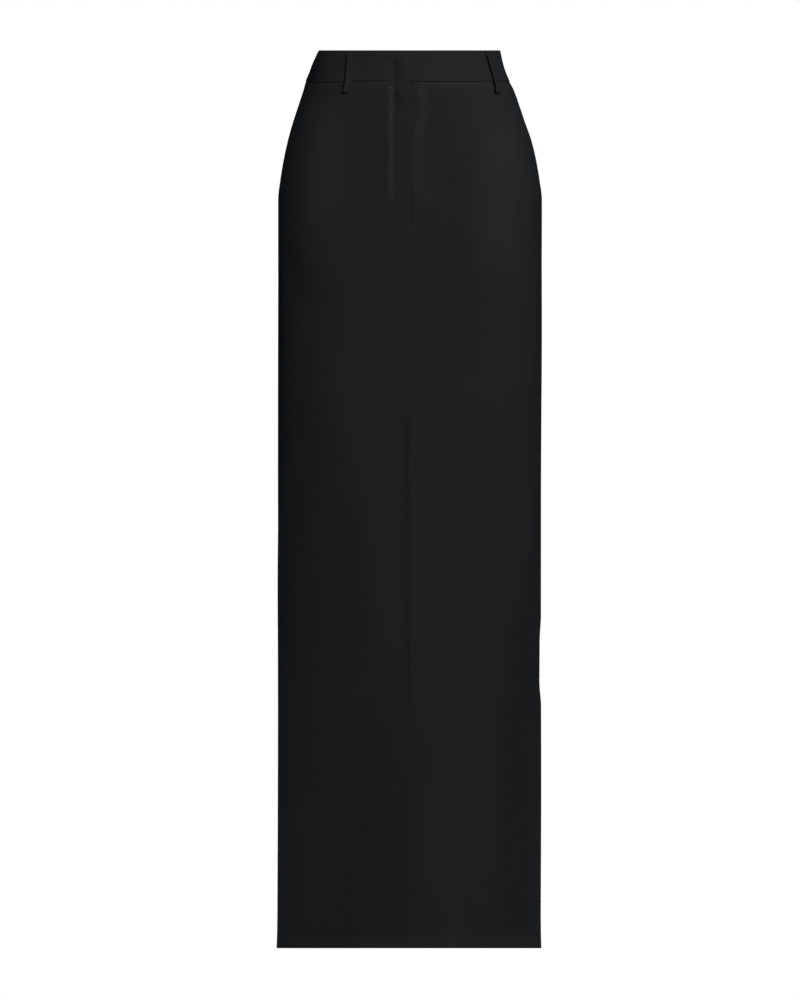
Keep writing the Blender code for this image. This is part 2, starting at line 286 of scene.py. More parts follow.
@dataclass(frozen=True)
class SkirtForm:
    """The shape that the cloth takes on its wearer."""

    length: float = 1.095
    band_height: float = 0.038
    mean_radius: float = 0.135
    sections: tuple[Section, ...] = SECTIONS
    folds: tuple[Fold, ...] = FOLDS
    ripples: tuple[Ripple, ...] = RIPPLES
    sag: Curve = Curve(  # of the waist seam: mm down, at mm across
        at=(-130.0, -112.0, -94.0, -80.0, -62.0, -30.0, -20.0, -8.0, 8.0, 130.0),
        values=(1.8, 1.6, 0.6, 0.0, -0.6, -0.7, -1.6, -1.4, 0.0, 0.0))

    def column(self, drop: Array, name: str) -> Array:
        """Reads one column of the sections as a smooth curve of the drop."""
        drops, values = zip(*((section.drop, getattr(section, name)) for section in self.sections))
        return Curve(drops, values).read(drop)

    def relief(self, turn: Array, drop: Array) -> Array:
        """Adds up the folds and ripples.

        A fold is a bell across its line that dies away at its two ends. A ripple is a sine of the turn
        and the drop.

        Args:
            turn: Turns.
            drop: Drops, of a shape that broadcasts with turn.

        Returns:
            Heights in metres.
        """
        relief = np.zeros(np.broadcast(turn, drop).shape)
        for fold in self.folds:
            share = (drop - fold.top) / (fold.bottom - fold.top)
            down = np.clip(share, 0.0, 1.0)
            line = fold.turn_top + (fold.turn_bottom - fold.turn_top) * down
            line = line + fold.bow * 4.0 * down * (1.0 - down)
            aside = wrapped(turn - np.radians(line))
            spread = np.where(aside > 0.0, fold.spread_on or fold.spread, fold.spread)
            foot = 1.0 if fold.bottom >= self.length else ramp(share, 1.0, -fold.fade)
            ends = ramp(share, 0.0, fold.fade) * foot
            relief = relief + fold.height * ends * bell(aside * self.mean_radius, 0.0, spread)
        below_waist = ramp(drop, self.band_height, 0.08)
        for ripple in self.ripples:
            angle = ripple.waves_round * turn + FULL_TURN * ripple.waves_down * drop + ripple.phase
            relief = relief + ripple.height * below_waist * np.sin(angle)
        return relief

    def points(self, turn: Array, drop: Array, out: Array | float = 0.0) -> Array:
        """Gives points of the form, moved out by a distance square to their ring.

        A ring is a superellipse, |x / half_width|^n + |y / reach|^n = 1, read along rays from the middle.

        Args:
            turn: Turns.
            drop: Drops.
            out: Distances outwards in metres.

        Returns:
            Points in metres, with x, y and z along the last axis.
        """
        half = self.column(drop, "half_width")
        side, ahead = np.sin(turn), -np.cos(turn)
        power = np.where(ahead < 0.0, self.column(drop, "front_power"), self.column(drop, "back_power"))
        reach = np.where(ahead < 0.0, self.column(drop, "front"), self.column(drop, "back"))
        ray = (np.abs(side) ** power + np.abs(ahead) ** power) ** (-1.0 / power)
        slope_x = np.sign(side) * np.abs(ray * side) ** (power - 1.0) / half
        slope_y = np.sign(ahead) * np.abs(ray * ahead) ** (power - 1.0) / reach
        length = np.hypot(slope_x, slope_y)
        moved = out + self.relief(turn, drop)
        x = self.column(drop, "shift") + half * ray * side + moved * slope_x / length
        y = reach * ray * ahead + moved * slope_y / length
        return np.stack((x, y, np.broadcast_to(-drop, x.shape)), axis=-1)

    def places(self, turn: Array, drop: Array) -> Places:
        """Gathers what is asked for again and again about places on the form."""
        return Places(turn, drop, self.points(turn, drop)[..., 0], np.cos(turn))

    def seam_sag(self, at: Places) -> Array:
        """Gives how far the waist seam hangs below its level at the front, as it isn't quite straight."""
        return self.sag.read(at.x / MM) * MM * ramp(at.ahead, 0.0, 0.3)

    def turn_at(self, x: Array | float, drop: Array) -> Array:
        """Gives the turn at which the front of the form, without its folds, stands at x.

        Args:
            x: Distance from the middle towards the wearer's left.
            drop: Drops.

        Returns:
            Turns.
        """
        share = (x - self.column(drop, "shift")) / self.column(drop, "half_width")
        power = self.column(drop, "front_power")
        return np.arctan2(share, (1.0 - np.abs(share) ** power) ** (1.0 / power))

    def turn_beside(self, turn: Array, drop: Array, distance: Array) -> Array:
        """Gives the turn that lies a short distance round the form from another.

        Args:
            turn: Turns to start from.
            drop: Their drops.
            distance: Distances round the ring in metres, towards larger turns.

        Returns:
            Turns.
        """
        probe = 0.001
        span = np.linalg.norm(self.points(turn + probe, drop) - self.points(turn - probe, drop), axis=-1)
        return turn + distance * 2.0 * probe / span


# ---- Meshes ----
def grid_object(name: str, points: Array, cloth_map: Array, finish: Material,
                ring: bool = False) -> Object:
    """Makes a grid of points into an open surface with a cloth map.

    Rows go from top to bottom and columns from left to right as seen from outside, so faces point out.

    Args:
        name: Name of the object.
        points: Points, rows by columns by 3.
        cloth_map: Place of each point on the flat cloth in metres, rows by columns by 2.
        finish: The material.
        ring: True where the last column joins the first.

    Returns:
        The new object, linked to the scene.
    """
    rows, columns = points.shape[:2]
    number = np.arange(rows * columns, dtype=np.int32).reshape(rows, columns)
    following = np.roll(number, -1, axis=1) if ring else number[:, 1:]
    current = number if ring else number[:, :-1]
    corners = np.stack((current[:-1], current[1:], following[1:], following[:-1]), axis=-1).reshape(-1, 4)
    mesh = bpy.data.meshes.new(name)
    mesh.vertices.add(rows * columns)
    mesh.vertices.foreach_set("co", points.astype(np.float32).ravel())
    mesh.loops.add(corners.size)
    mesh.loops.foreach_set("vertex_index", corners.ravel())
    mesh.polygons.add(len(corners))
    mesh.polygons.foreach_set("loop_start", np.arange(0, corners.size, 4, dtype=np.int32))
    mesh.update(calc_edges=True)
    mesh.uv_layers.new(name="cloth").data.foreach_set(
        "uv", cloth_map.reshape(-1, 2)[corners.ravel()].astype(np.float32).ravel())
    mesh.shade_smooth()
    mesh.materials.append(finish)
    return add_object(name, mesh)


def mark_painted_light(piece: Object, painted_light: Array) -> None:
    """Keeps on each point its painted light: a painted highlight up to 1, and painted shade down to -1."""
    values = np.clip(painted_light, -1.0, 1.0).astype(np.float32).ravel()
    piece.data.attributes.new("painted_light", "FLOAT", "POINT").data.foreach_set("value", values)


def give_thickness(piece: Object, wall: float) -> None:
    """Grows an open surface inwards into cloth of a thickness.

    Args:
        piece: The surface's object.
        wall: The cloth's thickness.
    """
    solidify = piece.modifiers.new("cloth thickness", "SOLIDIFY")
    solidify.thickness = wall
    solidify.offset = -1.0
    solidify.use_even_offset = True


def run_along(points: Array, axis: int) -> Array:
    """Adds up the distance from each point to the next, from 0 at the first.

    Args:
        points: Points, with x, y and z along the last axis.
        axis: The axis along which it runs.

    Returns:
        Distances in metres, in the shape of the points.
    """
    run = np.cumsum(np.linalg.norm(np.diff(points, axis=axis), axis=-1), axis=axis)
    return np.concatenate((np.zeros_like(run.take([0], axis)), run), axis=axis)


def measured_map(points: Array) -> Array:
    """Lays a grid flat: each point's place is how far the cloth runs to it, across and down.

    Args:
        points: Points, rows by columns by 3.

    Returns:
        Places in metres, rows by columns by 2, from the middle column and the first row.
    """
    across = run_along(points, 1)
    across = across - across[:, across.shape[1] // 2][:, None]
    return np.stack((across, -run_along(points, 0)), axis=-1)


def filled(first: Array, last: Array, count: int) -> Array:
    """Fills the space between two groups of columns with evenly spaced ones.

    Args:
        first: Turns of the first group, rows by columns.
        last: Turns of the last group.
        count: How many columns go between them.

    Returns:
        Turns of all columns.
    """
    share = np.linspace(0.0, 1.0, count + 2)[1:-1]
    return np.concatenate((first, first[:, -1:] + (last[:, :1] - first[:, -1:]) * share, last), axis=1)


# ---- Finishes ----
@dataclass(frozen=True)
class Finish:
    """What every finish has. Each kind has a relief method for its own surface, or its own texture."""

    name: str
    colour: str
    roughness: float
    specular: float
    depth_mm: float = 0.03  # of the surface's relief

    def build(self) -> Material:
        """Makes the material.

        Returns:
            The material.
        """
        material = bpy.data.materials.new(self.name)
        material.use_nodes = True
        tree = material.node_tree
        shader = tree.nodes["Principled BSDF"]
        self.texture(tree, shader)
        shader.inputs["Roughness"].default_value = self.roughness
        shader.inputs["Specular IOR Level"].default_value = self.specular
        return material

    def texture(self, tree: NodeTree, shader: Node) -> None:
        """Gives the shader one even colour and the surface's relief.

        Args:
            tree: The material's node tree.
            shader: Its shader.
        """
        shader.inputs["Base Color"].default_value = linear(self.colour)
        height = self.relief(tree, add_node(tree, "TexCoord").outputs["Object"])
        bump = add_node(tree, "Bump", {"Height": height, "Distance": self.depth_mm * MM})
        tree.links.new(bump.outputs[0], shader.inputs["Normal"])


@dataclass(frozen=True)
class WoolCrepe(Finish):
    """Black wool crepe, plain woven from hard-twisted yarn.

    It gives the eye a deep dull black, a little cool, with a fine pebbled grain and hardly any sheen.
    """

    colour: str = "26282a"
    roughness: float = 0.78
    specular: float = 0.05
    pile: str = "1c1d1f"
    thread_mm: float = 1.1  # real threads lie 0.45 mm apart; drawn coarser so that they show close up
    pebble_mm: float = 2.6
    painted_light: str = "2d2f31"  # painted highlight colour, laid along ironed edges and seams and on the hips
    painted_shade: str = "08080a"  # painted shade colour, beside an edge, in a dimple and at the right side
    crevice_shade: str = "050506"  # painted shade colour, deep in a seam and under an edge
    crevice_mm: float = 4.0
    turned: float = 0.0  # degrees by which the grain lies off the piece's length

    def texture(self, tree: NodeTree, shader: Node) -> None:
        """Makes the weave and its colours, with painted highlights and painted shade among them.

        The cloth map is in metres. Warp and weft are sines across and along it, their coordinates
        pushed about by noise as crepe yarn is, and their product is the over and under of the weave.

        Args:
            tree: The material's node tree.
            shader: Its shader.
        """
        place = add_node(tree, "UVMap", uv_map="cloth").outputs["UV"]
        lying = add_node(tree, "Mapping", {"Vector": place, "Rotation": (0, 0, math.radians(self.turned))})
        noise = add_node(tree, "TexNoise", {
            "Vector": lying.outputs[0], "Scale": 1.0 / (4.0 * self.thread_mm * MM), "Detail": 2.0})
        stray = add_node(tree, "VectorMath", {0: noise.outputs["Color"], 1: (-0.5,) * 3}, operation="ADD")
        pushed = add_node(tree, "VectorMath", {
            0: stray.outputs[0], "Scale": 0.9 * self.thread_mm * MM}, operation="SCALE")
        yarn = add_node(tree, "VectorMath", {0: lying.outputs[0], 1: pushed.outputs[0]}, operation="ADD")
        parts = add_node(tree, "SeparateXYZ", {0: yarn.outputs[0]})
        waves = []
        for axis in ("X", "Y"):
            phase = add_node(tree, "Math", {
                0: parts.outputs[axis], 1: math.pi / (self.thread_mm * MM)}, operation="MULTIPLY")
            waves.append(add_node(tree, "Math", {0: phase.outputs[0]}, operation="SINE").outputs[0])
        weave = add_node(tree, "Math", {0: waves[0], 1: waves[1]}, operation="MULTIPLY")
        pebble = add_node(tree, "TexNoise", {
            "Vector": lying.outputs[0], "Scale": 1.0 / (self.pebble_mm * MM), "Detail": 3.0,
            "Roughness": 0.6})
        grain = add_node(tree, "Math", {
            0: weave.outputs[0], 1: 0.5, 2: pebble.outputs["Fac"]}, operation="MULTIPLY_ADD")
        bump = add_node(tree, "Bump", {
            "Height": grain.outputs[0], "Distance": self.depth_mm * MM, "Strength": 1.0})
        cloudy = add_node(tree, "TexNoise", {"Vector": place, "Scale": 9.0, "Detail": 3.0})
        shade = add_node(tree, "Math", {
            0: cloudy.outputs["Fac"], 1: 0.35, 2: 0.32}, operation="MULTIPLY_ADD")
        shaded = add_node(tree, "Math", {
            0: grain.outputs[0], 1: 0.08, 2: shade.outputs[0]}, operation="MULTIPLY_ADD")
        # painted light: a painted highlight where the share is above 0, painted shade where it is below
        painted_light_share = add_node(tree, "Attribute", attribute_name="painted_light").outputs["Fac"]
        shade_share = add_node(tree, "Math", {0: painted_light_share, 1: -1.0}, operation="MULTIPLY")
        # painted shade in seams and under edges: ambient occlusion darkens the colour towards the crevice
        # colour
        openness = add_node(tree, "AmbientOcclusion", {"Distance": self.crevice_mm * MM}, samples=6)
        reached = add_node(tree, "Math", {0: openness.outputs["AO"], 1: 2.2}, operation="POWER")
        face = add_node(tree, "Mix", {
            "Factor": shaded.outputs[0], 6: linear(self.pile), 7: linear(self.colour)}, data_type="RGBA")
        for share, colour in ((painted_light_share, self.painted_light), (shade_share.outputs[0], self.painted_shade)):
            face = add_node(tree, "Mix", {
                "Factor": share, 6: face.outputs[2], 7: linear(colour)}, data_type="RGBA")
        face = add_node(tree, "Mix", {
            "Factor": reached.outputs[0], 6: linear(self.crevice_shade), 7: face.outputs[2]}, data_type="RGBA")
        tree.links.new(face.outputs[2], shader.inputs["Base Color"])
        tree.links.new(bump.outputs[0], shader.inputs["Normal"])


@dataclass(frozen=True)
class PolyesterThread(Finish):
    """Black sewing thread, spun and dyed: a thin round yarn with a slight gloss and its own twist."""

    name: str = "black_sewing_thread"
    colour: str = "1b1c1e"
    roughness: float = 0.5
    specular: float = 0.25
    twist_mm: float = 0.6

    def relief(self, tree: NodeTree, place: NodeSocket) -> NodeSocket:
        """Makes the twist as diagonal bands."""
        return add_node(tree, "TexWave", {
            "Vector": place, "Scale": 0.3 / (self.twist_mm * MM), "Distortion": 1.5},
            bands_direction="DIAGONAL").outputs["Fac"]


@dataclass(frozen=True)
class MattePaint(Finish):
    """Pale matt paint on the studio floor."""

    name: str = "pale_floor_paint"
    colour: str = "d8d8d7"
    roughness: float = 0.8
    specular: float = 0.5
    depth_mm: float = 0.1

    def relief(self, tree: NodeTree, place: NodeSocket) -> NodeSocket:
        """Makes a faint roller texture."""
        return add_node(tree, "TexNoise", {"Vector": place, "Scale": 60.0}).outputs["Fac"]


# ---- What every piece has ----
@dataclass(frozen=True)
class Piece:
    """A piece of cloth that lies on the form and shows in place of one node of the solids.

    Each kind of piece has a build method, which makes its object, and a declare method, which keeps nothing.
    """

    node: str
    form: SkirtForm = field(default=SkirtForm(), kw_only=True)

    def add(self, cloth: Material) -> None:
        """Builds the piece, puts it into the frame, riding on the body, and reports it.

        Args:
            cloth: Its material.
        """
        made = self.build(cloth)
        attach(made, "root")
        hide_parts(self.node)
        self.declare(made)
        report(made)


def report(made: Object) -> None:
    """Reports a piece that is made."""
    LOG.info("%s: %d faces", made.name, len(made.data.polygons))


# ---- The flat pattern ----
class Edge(Enum):
    """How a panel's long edge is finished."""

    SIDE_SEAM = "side seam"
    CENTRE_BACK = "centre back seam"
    FLY_TOP = "fly edge, folded, lying on the other front"
    FLY_UNDER = "extension, lying under the fly edge"

    @property
    def is_fly(self) -> bool:
        """Tells whether it is one of the two edges at the opening."""
        return self in (Edge.FLY_TOP, Edge.FLY_UNDER)


@dataclass(frozen=True)
class CutLevel:
    """One level of the flat pattern: its drop, and the cloth that goes round the skirt there, in metres."""

    drop: float
    girth: float


@dataclass(frozen=True)
class Pattern:
    """The pieces as a maker cuts them flat, from the skirt's rounded measures and not from its meshes."""

    levels: tuple[CutLevel, ...] = (
        CutLevel(0.038, 0.71), CutLevel(0.080, 0.80), CutLevel(0.120, 0.87), CutLevel(0.180, 0.92),
        CutLevel(0.350, 0.92), CutLevel(0.550, 0.90), CutLevel(0.800, 0.865), CutLevel(1.095, 0.85))
    lap: float = 0.009  # what runs on under a neighbour at a seam
    extension: float = 0.022  # what runs on under the fly
    ease: float = 0.006  # what the hip's slope adds to the length
    band_top: float = 0.62  # round the waistband's top edge
    band_lap: float = 0.024
    band_width: float = 0.084  # face and lining of 40.5 mm, and 3 mm for the fold and the turned edge

    def panel(self, start: Edge, finish: Edge, hem: float, tuck: float,
              opening: float) -> tuple[tuple[float, float], float]:
        """Gives a panel's flat size and area: a quarter of the girth at each level, joined by trapezoids.

        Args:
            start: Its edge at the wearer's right.
            finish: Its edge at the wearer's left.
            hem: What is turned up.
            tuck: What runs up inside the waistband.
            opening: Drop of the opening's bottom.

        Returns:
            Width and length in metres, and the area in square metres.
        """
        drops = np.array([level.drop for level in self.levels])
        quarters = np.array([level.girth for level in self.levels]) / 4.0
        length = float(drops[-1] - drops[0])
        width = float(quarters.max())
        area = float(np.sum((quarters[1:] + quarters[:-1]) / 2.0 * np.diff(drops)))
        area += float(quarters[0]) * tuck + float(quarters[-1]) * hem
        if finish is not Edge.FLY_TOP:
            width += self.lap
            area += self.lap * length
        if start is Edge.FLY_UNDER:
            opened = opening - float(drops[0])
            width += self.extension
            area += self.extension * opened + self.lap * (length - opened)
        return (round(width, 4), round(length + tuck + hem + self.ease, 4)), area


# ---- Panels ----
@dataclass(frozen=True)
class Fly:
    """The lapped front opening and its stitching. What lies aside of its edge, to the right, is below 0."""

    seam_x: float = 0.0045  # the centre front seam, below the opening
    edge_x: float = 0.0012  # the fly's edge, beside the opening
    bottom: float = 0.205
    close: float = 0.012  # below the opening, where the under layer comes back to the face
    taper: float = 0.030  # above its bottom, where the under layer widens
    stitch_in: float = 0.0200  # from the fly edge to its row of stitching
    stitch_turn: float = 0.165  # drop at which that row starts to curve to the edge
    stitch_end: float = 0.211  # drop at which it reaches the edge
    fade_from: float = 0.158  # drop at which the fly's own form starts to die away
    fade_over: float = 0.030
    row_left: float = 0.18  # share of the groove that is left where the stitching turns to the edge
    ditch: float = 0.0016  # how much deeper the groove is near the waist
    ridge_highlight: float = 0.60  # strengths of the painted highlights, and of the painted shade in the groove
    fall_highlight: float = 0.22
    fold_highlight: float = 0.90
    groove_shade: float = 0.32
    groove: Curve = Curve(  # mm of height, at mm from the stitching
        at=(-45.0, -14.0, -6.8, -0.8, 0.4, 5.5, 12.0, 30.0, 60.0),
        values=(0.0, 0.4, 1.2, -1.2, -1.3, -0.95, -0.5, 0.0, 0.0))
    edge: Curve = Curve(  # mm of height, at mm from the fly edge
        at=(-60.0, -10.0, -4.0, -1.2, 0.0, 1.5, 4.0, 16.0, 22.0, 80.0),
        values=(0.0, 0.0, 0.3, 0.7, 0.9, 0.9, 0.7, -2.3, -2.5, 0.0))

    def line_x(self, drop: Array) -> Array:
        """Gives where the front's edges meet: the fly's edge above, eased over to the seam below."""
        return self.edge_x + (self.seam_x - self.edge_x) * ramp(drop, 0.175, 0.080)

    def aside_of_row(self, drop: Array) -> Array:
        """Gives where the stitching lies aside of the edge: straight, then a quarter of an ellipse."""
        share = np.clip((drop - self.stitch_turn) / (self.stitch_end - self.stitch_turn), 0.0, 1.0)
        return -self.stitch_in * np.sqrt(1.0 - share**2)

    def flank(self, aside: Array, drop: Array) -> Array:
        """Moves the fall of the cloth beyond the edge a little further from it near the waist."""
        return aside - 0.0050 * (1.0 - ramp(drop, 0.070, 0.050)) * ramp(aside, 0.0, 0.004)

    def relief(self, aside: Array, drop: Array) -> Array:
        """Gives the fly's own form, read as a smooth curve across it.

        The cloth steps down into the stitching, rises to the folded edge and falls away beyond it.
        Towards the bottom the step follows the stitching's curve, and near the waist it is deeper.

        Args:
            aside: Distance from the fly edge.
            drop: Drops.

        Returns:
            Heights in metres.
        """
        from_row = aside - self.aside_of_row(drop)
        stitched = self.groove.read(from_row / MM) * MM
        folded = self.edge.read(self.flank(aside, drop) / MM) * MM
        fade = 1.0 - ramp(drop, self.fade_from, self.fade_over)
        curve = self.row_left * between(drop, self.fade_from, 0.010, self.bottom, 0.010)
        ditch = between(from_row, -0.0015, 0.0030, 0.0015, 0.0110) * (1.0 - ramp(drop, 0.056, 0.022))
        form = stitched * np.maximum(fade, curve) + folded * fade - self.ditch * ditch
        return form * ramp(drop, 0.038, 0.008)

    def painted_light(self, aside: Array, drop: Array) -> Array:
        """Gives the painted light.

        Painted highlights lie along the stitching's ridge, on the fall beyond the edge and on the edge's
        fold, and painted shade lies in the groove near the waist.

        Args:
            aside: Distance from the fly edge.
            drop: Drops.

        Returns:
            Shares, below zero for painted shade.
        """
        from_row = aside - self.aside_of_row(drop)
        fade = between(drop, 0.042, 0.008, self.fade_from + 0.004, self.fade_over)
        ridge = (self.ridge_highlight - 0.15 * ramp(drop, 0.080, 0.050)) * bell(from_row, -0.0034, 0.0026)
        fall = self.fall_highlight * bell(self.flank(aside, drop), 0.0100, 0.0062, 4)
        groove = bell(from_row, 0.0022, np.where(from_row > 0.0022, 0.0060, 0.0016))
        groove = self.groove_shade * groove * between(drop, 0.046, 0.006, 0.062, 0.022)
        fold = bell(aside, 0.0, 0.0008) * (self.fold_highlight - 0.4 * bell(drop, 0.140, 0.030, 4))
        return (ridge + fall) * fade - groove + fold * (1.0 - 0.45 * ramp(drop, 0.225, 0.030))


@dataclass(frozen=True)
class PaintedLightPatch:
    """A soft-edged patch of painted light on the front: a painted highlight, or painted shade if its strength
    is below 0.
    """

    strength: float
    x: float
    half_width: float
    drop: float
    half_height: float = 0.0
    fade: float = 0.0  # where it has one, the patch grows over it from its drop and goes on to the hem

    def share(self, x: Array, drop: Array) -> Array:
        """Gives the patch's part in the painted light."""
        down = ramp(drop, self.drop, self.fade) if self.fade else bell(drop, self.drop, self.half_height, 4)
        return self.strength * bell(x, self.x, self.half_width, 4) * down


# painted highlights on the two hips, and painted shade low at the left side and in the middle
PAINTED_LIGHT_PATCHES = (
    PaintedLightPatch(0.28, x=0.108, half_width=0.024, drop=0.172, half_height=0.086),  # the left hip
    PaintedLightPatch(0.38, x=-0.105, half_width=0.024, drop=0.125, half_height=0.098),  # the right hip
    PaintedLightPatch(-0.16, x=0.130, half_width=0.020, drop=0.62, fade=0.15),  # low at the left side
    PaintedLightPatch(-0.16, x=-0.036, half_width=0.056, drop=0.78, fade=0.12),  # low in the middle
)

# distances into the piece from a plain seam, where the piece only meets its neighbour
SEAM_COLUMNS = np.array((0.05, 0.2, 0.4, 0.7, 1.1, 1.7, 2.5, 3.8, 5.4, 7.5)) * MM
# the same where its seam allowance goes on under the neighbour, and near its ends, where it stops short
LAP_COLUMNS = np.array((-9.0, -7.0, -5.0, -3.2, -1.8, -0.8, -0.1, 0.1, 0.17, 0.24, 0.31, 0.40, 0.7, 1.3, 2.2,
                        3.4, 4.8, 6.0, 7.5, 9.0)) * MM
LAP_SHORT = np.array((0.05, 0.09, 0.13, 0.17, 0.21, 0.25, 0.29, 0.34, 0.40, 0.48, 0.64, 0.85, 1.2, 1.8, 2.6,
                      3.6, 4.8, 6.0, 7.5, 9.0)) * MM
# the same from the fly's edge, and on the extension under it
FLY_COLUMNS = np.array((0.05, 0.2, 0.4, 0.7, 1.1, 1.7, 2.5, 3.5, 4.7, 5.9, 7.1, 8.3, 9.6, 11.0, 12.4, 13.8,
                        15.2, 16.6, 18.0, 19.2, 20.2, 21.0, 21.8, 22.6, 23.4, 24.2, 25.0, 26.0, 27.2, 28.6,
                        30.2, 32.2, 35.0, 38.5)) * MM
LAP_OPEN = np.array((-22.0, -18.0, -14.0, -10.0, -7.0, -4.5, -2.5, -1.0, 0.2, 1.2, 2.4, 3.8, 5.4, 7.2, 9.2,
                     11.4, 13.8, 16.4, 19.2, 22.0)) * MM


@dataclass(frozen=True)
class PanelSide:
    """One long side of a panel."""

    edge: Edge
    turn: float
    way: float  # 1 where the panel runs towards larger turns from it, else -1

    @property
    def laps_under(self) -> bool:
        """Tells whether its allowance goes on under the neighbour: at a seam only one of the two does."""
        return self.edge is Edge.FLY_UNDER or (self.way < 0.0 and self.edge is not Edge.FLY_TOP)


@dataclass(frozen=True)
class Panel(Piece):
    """One panel of the skirt, from the waist seam to the hem and up inside it."""

    start: PanelSide
    finish: PanelSide
    fly: Fly = Fly()
    wall: float = 0.0007
    seam_gap: float = 0.0002
    lap_gap: float = 0.0002
    seam_roll: float = 0.00012
    fold_roll: float = 0.0004
    hem_depth: float = 0.038
    hem_radius: float = 0.0014
    tuck: float = 0.0040  # how far the top runs up inside the waistband
    column_spacing: float = 0.0032
    seam_sink: float = 0.00012  # how far the cloth sinks beside a seam, and how much that varies
    seam_pucker: float = 0.00006
    hem_step: float = 0.00018
    hem_flare: float = 0.0007
    hem_highlight: float = 0.32  # strengths of the painted highlights, and of the painted shade at the right side
    waist_seam_highlight: float = 0.36
    seam_highlight: float = 0.12
    side_shade: float = 0.58
    side_turn: float = -1.45  # of the painted shade at the right side
    side_drop: float = 0.345
    # heights below the waist seam: the cloth swells, but where the fly's layers lie it stays level
    swell: Curve = Curve(
        at=(-0.005, 0.0001, 0.0009, 0.0064, 0.0095, 0.0300, 2.0),
        values=(-0.00025, -0.00025, 0.00020, 0.00165, 0.00185, 0.0, 0.0))
    level: Curve = Curve(
        at=(-0.005, -0.0004, 0.0002, 0.0009, 0.0064, 0.0100, 0.0300, 2.0),
        values=(-0.00025, -0.00025, 0.00042, 0.00055, 0.00065, 0.00060, 0.0, 0.0))

    def rows(self) -> tuple[Array, Array]:
        """Gives the sheet's path down the panel, round the hem's fold and up inside.

        The fold is half a circle: out = R (cos a - 1), drop = length - R + R sin a.

        Returns:
            Drops, and distances out from the form, one of each for a row.
        """
        top = self.form.band_height
        fine = np.concatenate((
            np.arange(top - self.tuck, top - 0.0006, 0.0008),
            top + np.array((-0.4, -0.1, 0.2, 0.5, 0.9)) * MM,
            np.arange(top + 0.0015, top + 0.014, 0.0007), np.arange(top + 0.014, top + 0.030, 0.0015),
            np.arange(top + 0.030, self.fly.bottom + 0.03, 0.0030)))
        low = self.form.length - self.hem_radius
        body = np.linspace(self.fly.bottom + 0.031, low - 0.050, 190)
        hem = np.concatenate((np.linspace(low - 0.048, low - 0.0135, 12), np.linspace(low - 0.0125, low, 26)))
        angles = np.linspace(0.0, math.pi, 9)[1:]
        inside = np.linspace(low - 0.0015, self.form.length - self.hem_depth, 14)
        drops = np.concatenate((fine, body, hem, low + self.hem_radius * np.sin(angles), inside))
        flat = np.zeros(len(fine) + len(body) + len(hem))
        outs = np.concatenate((flat, self.hem_radius * (np.cos(angles) - 1.0),
                               np.full(len(inside), -2.0 * self.hem_radius)))
        return drops, outs

    def allowance(self, drops: Array, outs: Array) -> Array:
        """Gives how far the seam allowance runs on under the neighbour: not at the waist or in the hem."""
        waist = ramp(drops, self.form.band_height + 0.001, 0.004)
        return waist * ramp(drops, self.form.length - 0.004, -0.010) * (outs > -1e-6)

    def edge_columns(self, edge: Edge, drops: Array, lapped: Array) -> Array:
        """Gives the distances into the piece of the columns beside one edge, row by row.

        Args:
            edge: How the edge is finished.
            drops: Drops of the rows.
            lapped: Share of the seam allowance that each row has, 0 for an edge without one.

        Returns:
            Distances, rows by columns.
        """
        if edge is Edge.FLY_TOP:
            return np.broadcast_to(FLY_COLUMNS, (len(drops), len(FLY_COLUMNS)))
        if edge is not Edge.FLY_UNDER and not lapped.any():
            return np.broadcast_to(SEAM_COLUMNS, (len(drops), len(SEAM_COLUMNS)))
        columns = LAP_SHORT + (LAP_COLUMNS - LAP_SHORT) * lapped[:, None]
        if edge is Edge.FLY_UNDER:
            columns = columns + (LAP_OPEN - columns) * ramp(drops, self.fly.bottom, -self.fly.taper)[:, None]
        return columns

    def columns(self, drops: Array, laps: list[Array]) -> tuple[Array, list[Array]]:
        """Spreads the panel's columns, close together beside its two sides.

        Args:
            drops: Drops of the rows.
            laps: Share of the seam allowance that each row has, for each side.

        Returns:
            Turns, rows by columns, and their distances into the piece from each side.
        """
        down = drops[:, None]
        groups, runs = [], []
        for side, lapped in zip((self.start, self.finish), laps):
            line = self.form.turn_at(self.fly.line_x(drops), drops) if side.edge.is_fly else side.turn
            inward = self.edge_columns(side.edge, drops, lapped)
            runs.append(inward[:, :1])
            beside = np.broadcast_to(line, drops.shape)[:, None]
            groups.append(self.form.turn_beside(beside, down, side.way * inward))
        span = abs(self.finish.turn - self.start.turn) * self.form.mean_radius
        turns = filled(groups[0], groups[1][:, ::-1], max(int(span / self.column_spacing), 8))
        run = run_along(self.form.points(turns, down), 1)
        return turns, [runs[0] + run, runs[1] + run[:, -1:] - run]

    def build(self, finish: Material) -> Object:
        """Makes the panel.

        Args:
            finish: Its material.

        Returns:
            The new object.
        """
        drops, outs = self.rows()
        down = drops[:, None]
        under = self.allowance(drops, outs)
        sides = (self.start, self.finish)
        laps = [under if side.laps_under else np.zeros(len(drops)) for side in sides]
        turns, distances = self.columns(drops, laps)
        at = self.form.places(turns, down)
        out = outs[:, None] + self.waist_lift(at) + self.hem_print(at)
        for side, distance, lapped in zip(sides, distances, laps):
            out = out + self.edge_form(side, distance, down, lapped[:, None])
        points = self.form.points(turns, down + self.sag(at), out)
        made = grid_object(self.node + "_cloth", points, measured_map(points), finish)
        mark_painted_light(made, self.painted_light(at, distances))
        give_thickness(made, self.wall)
        return made

    def sag(self, at: Places) -> Array:
        """Gives how far the panel's places follow the waist seam down, less and less below it."""
        return self.form.seam_sag(at) * (1.0 - ramp(at.drop, self.form.band_height + 0.002, 0.030))

